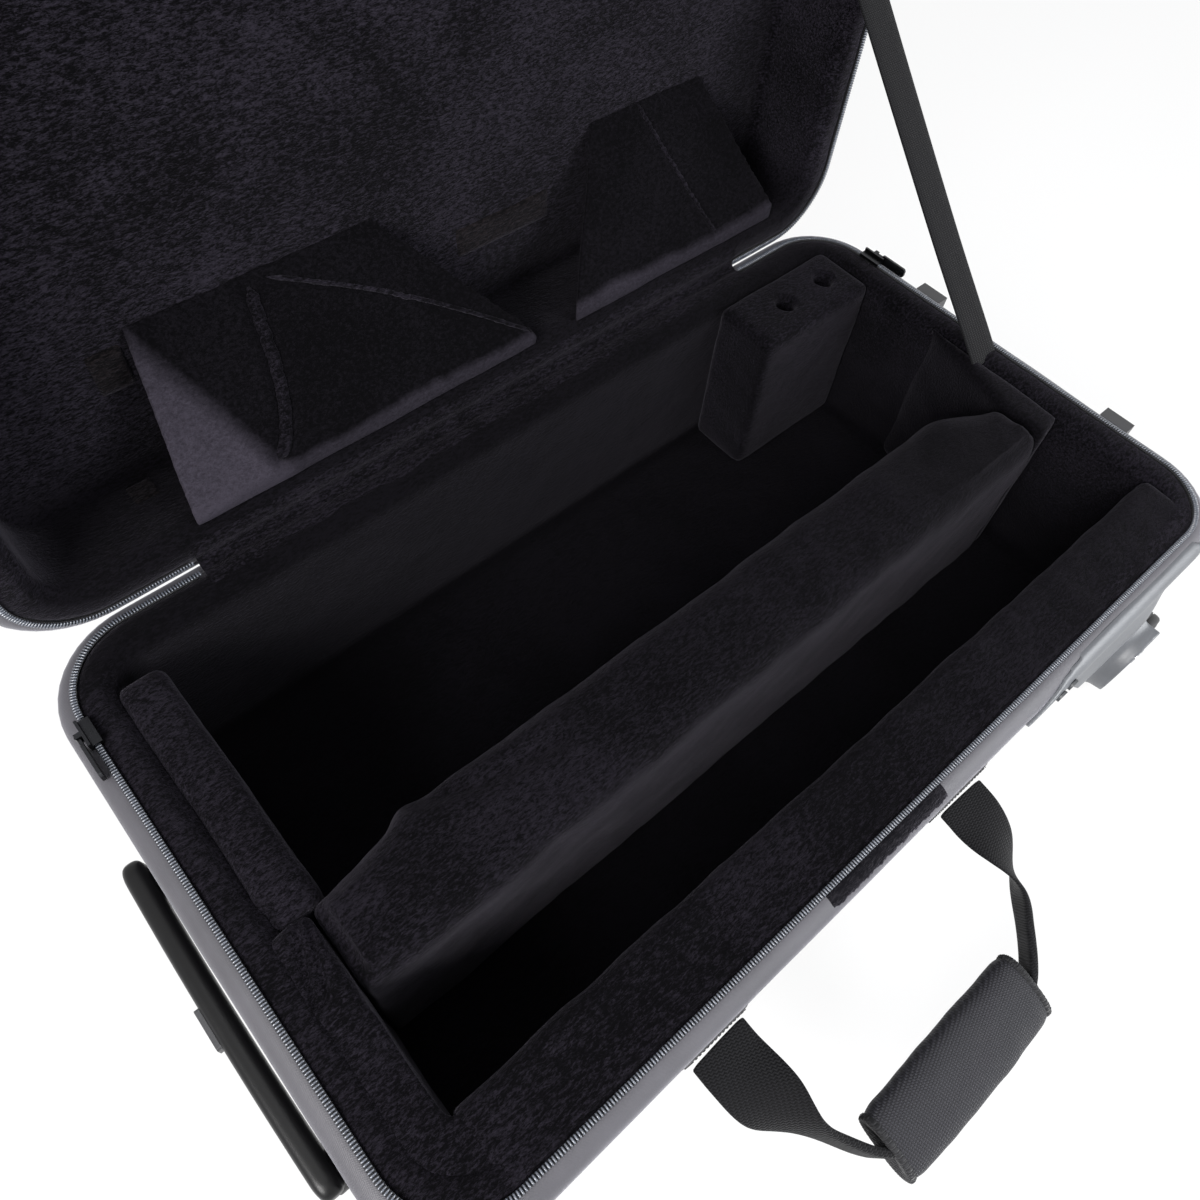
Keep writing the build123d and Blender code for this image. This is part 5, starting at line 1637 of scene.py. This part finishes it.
@dataclass
class WheelPods:
    """Cowls round the wheels that sweep out into wings over wall and shoulder. Sizes in millimetres.

    crest and hem are the wing's upper and lower edge: rows of x and height above the rim. corner is where the
    case's corner starts along x, and its radius. rest is how far the wing's skin reaches into the cover.
    """

    dresser: Dresser
    axle: tuple[float, float] = (279.0, 32.0)
    tip: float = 79.0
    cowl: float = 34.5
    mouth: float = 32.0
    face: float = 196.0
    sweep: float = 20.0
    skin: float = 2.2
    foot: float = 5.0
    cut: float = 276.0
    corner: tuple[float, float] = (249.0, 51.0)
    swell: float = 7.0
    rest: float = 0.6
    lip: float = 5.0
    flare: float = 13.0
    hub_clear: float = 4.0
    thick: float = 2.5
    stations: int = 150
    around: int = 60
    crest: tuple[tuple[float, float], ...] = (
        (79.0, -15.0), (94.0, -10.5), (112.0, -5.6), (130.0, -3.9), (189.0, -3.8), (250.0, -3.8), (257.0, -7.0),
        (266.0, -40.0), (276.0, -101.0))
    hem: tuple[tuple[float, float], ...] = (
        (79.0, -15.5), (119.0, -46.0), (169.0, -84.0), (205.0, -119.0), (236.0, -152.0), (240.0, -115.0),
        (276.0, -103.6))

    def wing_section(self, x: float, top: float) -> list[tuple[float, float]]:
        """The wing's section at x: distance from the middle plane and height, round the skin.

        Args:
            x: Place along the case.
            top: Greatest height, so that the back wing stays below the hinge strip.

        Returns:
            A closed ring of rows.
        """
        upper, lower = (np.interp(x, *zip(*rows)) + RIM for rows in (self.crest, self.hem))
        high = min(upper, top)
        low = min(lower, high - 0.8)
        corner_start, corner_radius = self.corner
        corner = max(0.0, x - corner_start)
        wall = HALF_WIDTH - (corner_radius - math.sqrt(corner_radius ** 2 - corner ** 2))
        fine = np.linspace(high, low, 500)
        fold = np.clip((fine - (RIM - SHOULDER_DEPTH)) / SHOULDER, 0.0, 1.0)
        shell = wall - SHOULDER * (1 - np.sqrt(1 - fold ** 2))
        near = np.hypot(x - self.axle[0], fine - self.axle[1]) - self.cowl
        swell = self.swell * np.exp(-(np.maximum(near - 20.0, 0.0) / 26.0) ** 2)
        swell = swell * np.clip((x - 150.0) / 60.0, 0.0, 1.0) * np.clip((RIM - 10.0 - fine) / 30.0, 0.0, 1.0)
        outer = np.column_stack([shell + self.skin + swell, fine])
        inner = np.column_stack([shell - self.rest, fine])
        run = np.concatenate([[0.0], np.cumsum(np.hypot(*np.diff(outer, axis=0).T))])
        even = np.linspace(0.0, run[-1], self.around)
        out, back = ([(float(np.interp(t, run, side[:, 0])), float(np.interp(t, run, side[:, 1]))) for t in even]
                     for side in (outer, inner))
        return out + back[::-1]

    def wing_shape(self, side: int, top: float) -> Shape:
        """The wing from its tip to the end of the case.

        Args:
            side: -1 in front, 1 at the back.
            top: Greatest height.

        Returns:
            Points in metres and faces.
        """
        stations = np.linspace(self.tip + (30 if side > 0 else 0), self.cut - 0.2, self.stations)
        rows = [(x, side * y, z) for x in stations for y, z in self.wing_section(float(x), top)]
        return np.array(rows) * MM, tube_faces(self.stations, 2 * self.around)

    def cowl_shape(self, side: int) -> Shape:
        """The cowl's wall, swept round the axle: outer face, rim, flank and its sweep into the wing.

        Args:
            side: -1 in front, 1 at the back.

        Returns:
            Points in metres and faces.
        """
        flank = HALF_WIDTH + self.skin
        edge, inside, back = self.cowl - self.lip, HALF_WIDTH - 1.0, self.face - self.thick
        ring = [(self.hub_clear, self.face), (edge, self.face)]
        ring += [(edge + self.lip * math.sin(a), self.face - self.lip + self.lip * math.cos(a))
                 for a in np.linspace(0.3, math.pi / 2, 6)]
        ring += [(self.cowl + self.sweep * (1 - math.cos(a)), flank + self.flare * (1 - math.sin(a)))
                 for a in np.linspace(0.0, math.pi / 2, 12)]
        ring += [(self.cowl + self.sweep, inside), (self.mouth, inside), (self.mouth, back), (self.hub_clear, back)]
        angles = np.radians(np.linspace(95.0, 232.0, 70))
        x, z = self.axle
        rows = [(min(self.cut, x + r * math.cos(a)), side * y, max(self.foot, z + r * math.sin(a)))
                for a in angles for r, y in ring]
        return np.array(rows) * MM, tube_faces(len(angles), len(ring))

    def plate(self, outline: Sequence[Row], side: int, near: float, far: float) -> Shape:
        """A plate parallel to the wall between two distances from the middle plane."""
        return prism(outline, lambda x, z: (x, side * near, z), lambda x, z: (x, side * far, z))

    def fan(self, radius: float) -> list[tuple[float, float]]:
        """Points round the axle, from above it to the front of the foot."""
        x, z = self.axle
        return [(x + radius * math.cos(a), z + radius * math.sin(a))
                for a in np.radians(np.linspace(95.0, 231.0, 24))]

    def build(self) -> None:
        """Makes both housings."""
        face = self.fan(34.0) + [(289.6, self.foot), (289.6, 52.3), (self.cut, 66.2)]
        nose = [(self.cut - 1.0, 66.4), (self.cut - 1.0, 63.6), (287.4, 50.0), (289.6, 52.4), (self.cut, 66.3)]
        inside = self.fan(31.5) + [(289.0, self.foot + 0.5), (289.0, 51.5), (self.cut, 64.5)]
        finish = Moulded(title="pod_plastic", colour=(0.090, 0.095, 0.105), roughness=0.42, shine=0.6)
        for side, name, top in ((-1, "front", RIM), (1, "back", 132.0)):
            made = make_object(f"{name}_pod_moulding", *joined(
                self.wing_shape(side, top), self.cowl_shape(side), self.plate(face, side, self.face - 2.6, self.face),
                self.plate(nose, side, 168.4, self.face)))
            smoothed(made, 1.0, 5)
            self.dresser.finish(made, finish, "wheel_plastic", "base", [f"{name}_wheel_pod"])
            cheek = make_object(f"{name}_pod_cheek", *self.plate(inside, side, 168.3, 170.4))
            self.dresser.finish(cheek, finish, "wheel_plastic", "base")


@dataclass
class Trolley:
    """The moulded grip of the telescoping trolley. Sizes in millimetres.

    bar_half and arm_half are half sizes of the bar's and an arm's section, across and upright.
    """

    dresser: Dresser
    half: float = 106.0
    bar_half: tuple[float, float] = (6.9, 9.6)
    bar_end: float = 13.0
    arm_half: tuple[float, float] = (11.2, 12.6)
    middle: float = -320.5
    height: float = 44.0
    tube: float = 92.0
    powers: tuple[float, float] = (0.7, 0.7)
    leg_x: tuple[float, float] = (-326.5, -313.5)
    leg_half: float = 10.5
    leg_foot: float = 18.5

    def bar(self) -> Shape:
        """The bar, bowed outwards in the middle and rounded off at its ends.

        Returns:
            Points in metres and faces.
        """
        rows, stations, columns = [], 110, 40
        thick, high = self.bar_half
        for y in np.linspace(-self.half, self.half, stations):
            end = max(0.0, (abs(y) - self.half + self.bar_end) / self.bar_end)
            full = math.sqrt(max(0.0, 1 - end ** 2.6 * 0.97))
            bow = 1.5 * (1 - (y / self.half) ** 2)
            for step in range(columns):
                c, s = squared_circle(step, columns, self.powers)
                rows.append((self.middle - bow + 0.7 + thick * (0.45 + 0.55 * full) * c, y,
                             self.height + high * (0.35 + 0.65 * full) * s))
        return np.array(rows) * MM, tube_faces(stations, columns)

    def arm(self, side: int) -> tuple[Shape, Shape]:
        """One leg down to its tube, and the round arm behind it.

        Args:
            side: -1 in front, 1 at the back.

        Returns:
            Both shapes, with points in metres.
        """
        y, (near, far) = side * self.tube, self.leg_x
        inner, outer, low, high = y - self.leg_half, y + self.leg_half, self.leg_foot, self.height
        outline = [(inner, low), (outer, low), (outer, high), (inner, high)]
        stations, angles = np.linspace(-320, -307.8, 8), np.arange(32) * math.pi / 16
        wide, tall = self.arm_half
        rows = [(x, y + side * 2.4 + wide * math.cos(a), 31 + tall * math.sin(a)) for x in stations for a in angles]
        return (prism(outline, lambda a, b: (near, a, b), lambda a, b: (far, a, b)),
                (np.array(rows) * MM, tube_faces(len(stations), len(angles))))

    def build(self) -> None:
        """Makes the bar with its two arms down to the tubes."""
        made = smoothed(make_object("grip_moulding", *joined(self.bar(), *self.arm(-1), *self.arm(1))), 0.9, 9)
        finish = Moulded(title="grip", colour=(0.0018, 0.0018, 0.0022), roughness=0.36, shine=0.28)
        self.dresser.finish(made, finish, "grip_plastic", "trolley_handle", ["trolley_grip"])


# ------------------------------------------------------------------ outside fittings
@dataclass
class OuterFittings:
    """The loop strip below the zip. Rim coordinates in millimetres."""

    dresser: Dresser
    ends: tuple[float, float] = (-75.0, 10.0)
    nap: float = 1.1

    def build(self) -> None:
        """Fuzzy strip on the front shoulder, with an uneven lower edge."""
        start, end = self.ends
        middle, half = (start + end) / 2, (end - start) / 2
        xs, shares = np.linspace(start, end, 60), np.linspace(0.0, 1.0, 14)
        rows = []
        for x in xs:
            for share in shares:
                angle = math.radians(-86 + share * (47 + 2.5 * math.sin(x * 1.9) + 2.0 * math.sin(x * 0.7)))
                edge = max(abs(x - middle) / half, abs(share - 0.5) * 2) ** 14
                reach = SHOULDER + self.nap * (1 - edge)
                rows.append((x, -(HALF_WIDTH - SHOULDER + reach * math.cos(angle)),
                             SHOULDER_DEPTH + reach * math.sin(angle)))
        made = make_object("loop_strip_nap", Half.BASE.place(rows), grid_faces(len(xs), len(shares)))
        rumple(made, 0.25 * MM, 0.006, 2.0)
        finish = Plush(title="strip_nap", dark=(0.002, 0.002, 0.003), light=(0.016, 0.015, 0.018), sheen=0.25)
        self.dresser.finish(made, finish, "plush", "base", ["front_loop_strip"])


# ------------------------------------------------------------------ pieces that keep the frame's meshes
KEPT: tuple[tuple[Finish, tuple[str, ...]], ...] = (
    (Moulded(title="shell_board", colour=(0.02, 0.02, 0.022), roughness=0.6),
     ("base_frame", "base_false_floor", "lid_frame", "trolley_end_bracket")),
    (ShellNylon(), ("base_hinge_strip", "lid_hinge_strip", "lid_pocket")),
    (RibbedWebbing(title="pocket_coil"), ("pocket_zip_coil",)),
    (Moulded(title="foot", colour=(0.030, 0.030, 0.032), roughness=0.42),
     ("bottom_skids", "stand_feet", "trolley_mid_collars")),
    (Moulded(), ("trolley_bezel", "trolley_button")),
    (Moulded(title="screw_cap", colour=(0.05, 0.053, 0.058), roughness=0.45), ("pod_screws",)),
    (Metal(title="black_screw", colour=(0.16, 0.165, 0.175), roughness=0.35), ("bezel_screws",)),
    (Metal(), ("front_axle", "back_axle", "front_wheel_bearings", "back_wheel_bearings")),
    (Metal(title="aluminium", colour=(0.36, 0.365, 0.38), roughness=0.36, draw=(0.02, 1.0, 1.0)),
     ("trolley_outer_tubes", "trolley_mid_tubes", "trolley_inner_tubes")),
    (Metal(title="zip_zinc", colour=(0.045, 0.046, 0.05), roughness=0.3),
     ("zip_slider_right", "zip_slider_left", "zip_pull_right", "zip_pull_left", "pocket_slider", "pocket_pull")),
)


# ------------------------------------------------------------------ studio
@dataclass
class Studio:
    """Camera, lights and a plain floor."""

    eye: Vec3 = (-0.24873, -0.16915, 0.59488)
    forward: Vec3 = (0.39075, 0.37061, -0.84259)
    right: Vec3 = (0.75265, -0.65562, 0.06067)
    down: Vec3 = (-0.52993, -0.65788, -0.53513)
    lens: float = 28.31
    plain: float = 0.85

    def build(self) -> None:
        """Makes camera, floor, world and lights."""
        bpy.context.scene.view_settings.view_transform = "Standard"
        self.camera()
        self.floor()
        self.world()
        for name, spot, aim, size, power, warmth in (
                ("key", (-1.30, -0.45, 1.05), (-0.1, 0.0, 0.12), 0.8, 36.0, (1.0, 0.99, 0.98)),
                ("top", (0.1, 0.3, 1.75), (0.0, 0.05, 0.1), 1.2, 7.0, (0.98, 0.98, 1.0)),
                ("front", (0.85, -1.35, 0.75), (0.15, -0.1, 0.08), 1.0, 30.0, (0.96, 0.98, 1.0))):
            self.softbox(name, spot, aim, size, power, warmth)

    def camera(self) -> None:
        """Places the camera."""
        data = bpy.data.cameras.new("camera")
        data.lens, data.sensor_width = self.lens, 36.0
        data.clip_start, data.clip_end = 0.01, 20.0
        data.dof.use_dof = False
        made = bpy.data.objects.new("camera", data)
        bpy.context.scene.collection.objects.link(made)
        columns = (self.right, tuple(-v for v in self.down), tuple(-v for v in self.forward))
        matrix = Matrix([[columns[c][r] for c in range(3)] for r in range(3)]).to_4x4()
        matrix.translation = self.eye
        made.matrix_world = matrix
        bpy.context.scene.camera = made

    def floor(self) -> None:
        """A pale floor that keeps a part of the case's shadow."""
        bpy.ops.mesh.primitive_plane_add(size=14.0, location=(0, 0, 0))
        made = bpy.context.object
        made.name = "studio_floor"
        material = bpy.data.materials.new("floor_white")
        material.use_nodes = True
        tree = material.node_tree
        shader = tree.nodes["Principled BSDF"]
        for name, value in (("Base Color", (0.93, 0.93, 0.935, 1)), ("Roughness", 0.9), ("Specular IOR Level", 0.1)):
            shader.inputs[name].default_value = value
        white = self.light_node(tree, "ShaderNodeEmission", (1, 1, 1, 1), 1.0)
        self.mixed(tree, self.seen(tree) * self.plain, shader, white, tree.nodes["Material Output"])
        made.data.materials.append(material)

    @staticmethod
    def light_node(tree: bpy.types.NodeTree, kind: str, colour: tuple[float, ...], strength: float) -> bpy.types.Node:
        """Adds an emission or background node.

        Args:
            tree: The node tree.
            kind: The node's type.
            colour: Its colour.
            strength: Its strength.

        Returns:
            The node.
        """
        node = tree.nodes.new(kind)
        node.inputs["Color"].default_value = colour
        node.inputs["Strength"].default_value = strength
        return node

    @staticmethod
    def mixed(tree: bpy.types.NodeTree, share: Wire, first: bpy.types.Node, second: bpy.types.Node,
              out: bpy.types.Node) -> None:
        """Mixes two shaders into the tree's output.

        Args:
            tree: The node tree.
            share: How much of the second there is.
            first: A shader node.
            second: Another shader node.
            out: The output node.
        """
        mix = tree.nodes.new("ShaderNodeMixShader")
        tree.links.new(share.socket, mix.inputs[0])
        tree.links.new(first.outputs[0], mix.inputs[1])
        tree.links.new(second.outputs[0], mix.inputs[2])
        tree.links.new(mix.outputs[0], out.inputs["Surface"])

    @staticmethod
    def seen(tree: bpy.types.NodeTree) -> Wire:
        """One for rays from the camera, and for those that glossy and clear pieces send on.

        Args:
            tree: The node tree.

        Returns:
            The value's wire.
        """
        path = tree.nodes.new("ShaderNodeLightPath")
        camera, glossy, clear = (Wire(tree, path.outputs[f"Is {ray} Ray"])
                                 for ray in ("Camera", "Glossy", "Transmission"))
        return (camera + glossy + clear).clamped()

    def world(self) -> None:
        """White for the camera and for reflections, a soft even light for everything else."""
        world = bpy.data.worlds.new("studio_world")
        bpy.context.scene.world = world
        world.use_nodes = True
        tree = world.node_tree
        tree.nodes.clear()
        soft = self.light_node(tree, "ShaderNodeBackground", (0.95, 0.97, 1.0, 1), 0.30)
        white = self.light_node(tree, "ShaderNodeBackground", (1, 1, 1, 1), 1.0)
        self.mixed(tree, self.seen(tree), soft, white, tree.nodes.new("ShaderNodeOutputWorld"))

    def softbox(self, name: str, spot: Vec3, aim: Vec3, size: float, power: float, colour: Vec3) -> None:
        """Adds a square area light.

        Args:
            name: The light's name.
            spot: Where it stands.
            aim: The point it faces.
            size: Its side, in metres.
            power: Its power in watts.
            colour: Its colour.
        """
        data = bpy.data.lights.new(name, "AREA")
        data.size, data.energy, data.color = size, power, colour
        made = bpy.data.objects.new(name, data)
        bpy.context.scene.collection.objects.link(made)
        made.location = spot
        made.rotation_euler = (Vector(aim) - Vector(spot)).to_track_quat("-Z", "Y").to_euler()


def main() -> None:
    """Builds the dressed case."""
    logging.basicConfig(level=logging.INFO, format="%(name)s %(message)s")
    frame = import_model()
    Studio().build()
    dresser = Dresser(frame)
    CaseHalf(Half.BASE, dresser).build()
    CaseHalf(Half.LID, dresser, depth=70.0, edge=12.0, well=58.0).build()
    BasePads(dresser).build()
    LidPads(dresser).build()
    HingeCloth(dresser).build()
    CarryHandle(dresser).build()
    Wheels(dresser).build()
    WheelPods(dresser).build()
    Trolley(dresser).build()
    OuterFittings(dresser).build()
    for finish, names in KEPT:
        for name in names:
            dresser.node(name, finish)


if __name__ == "__main__":
    main()
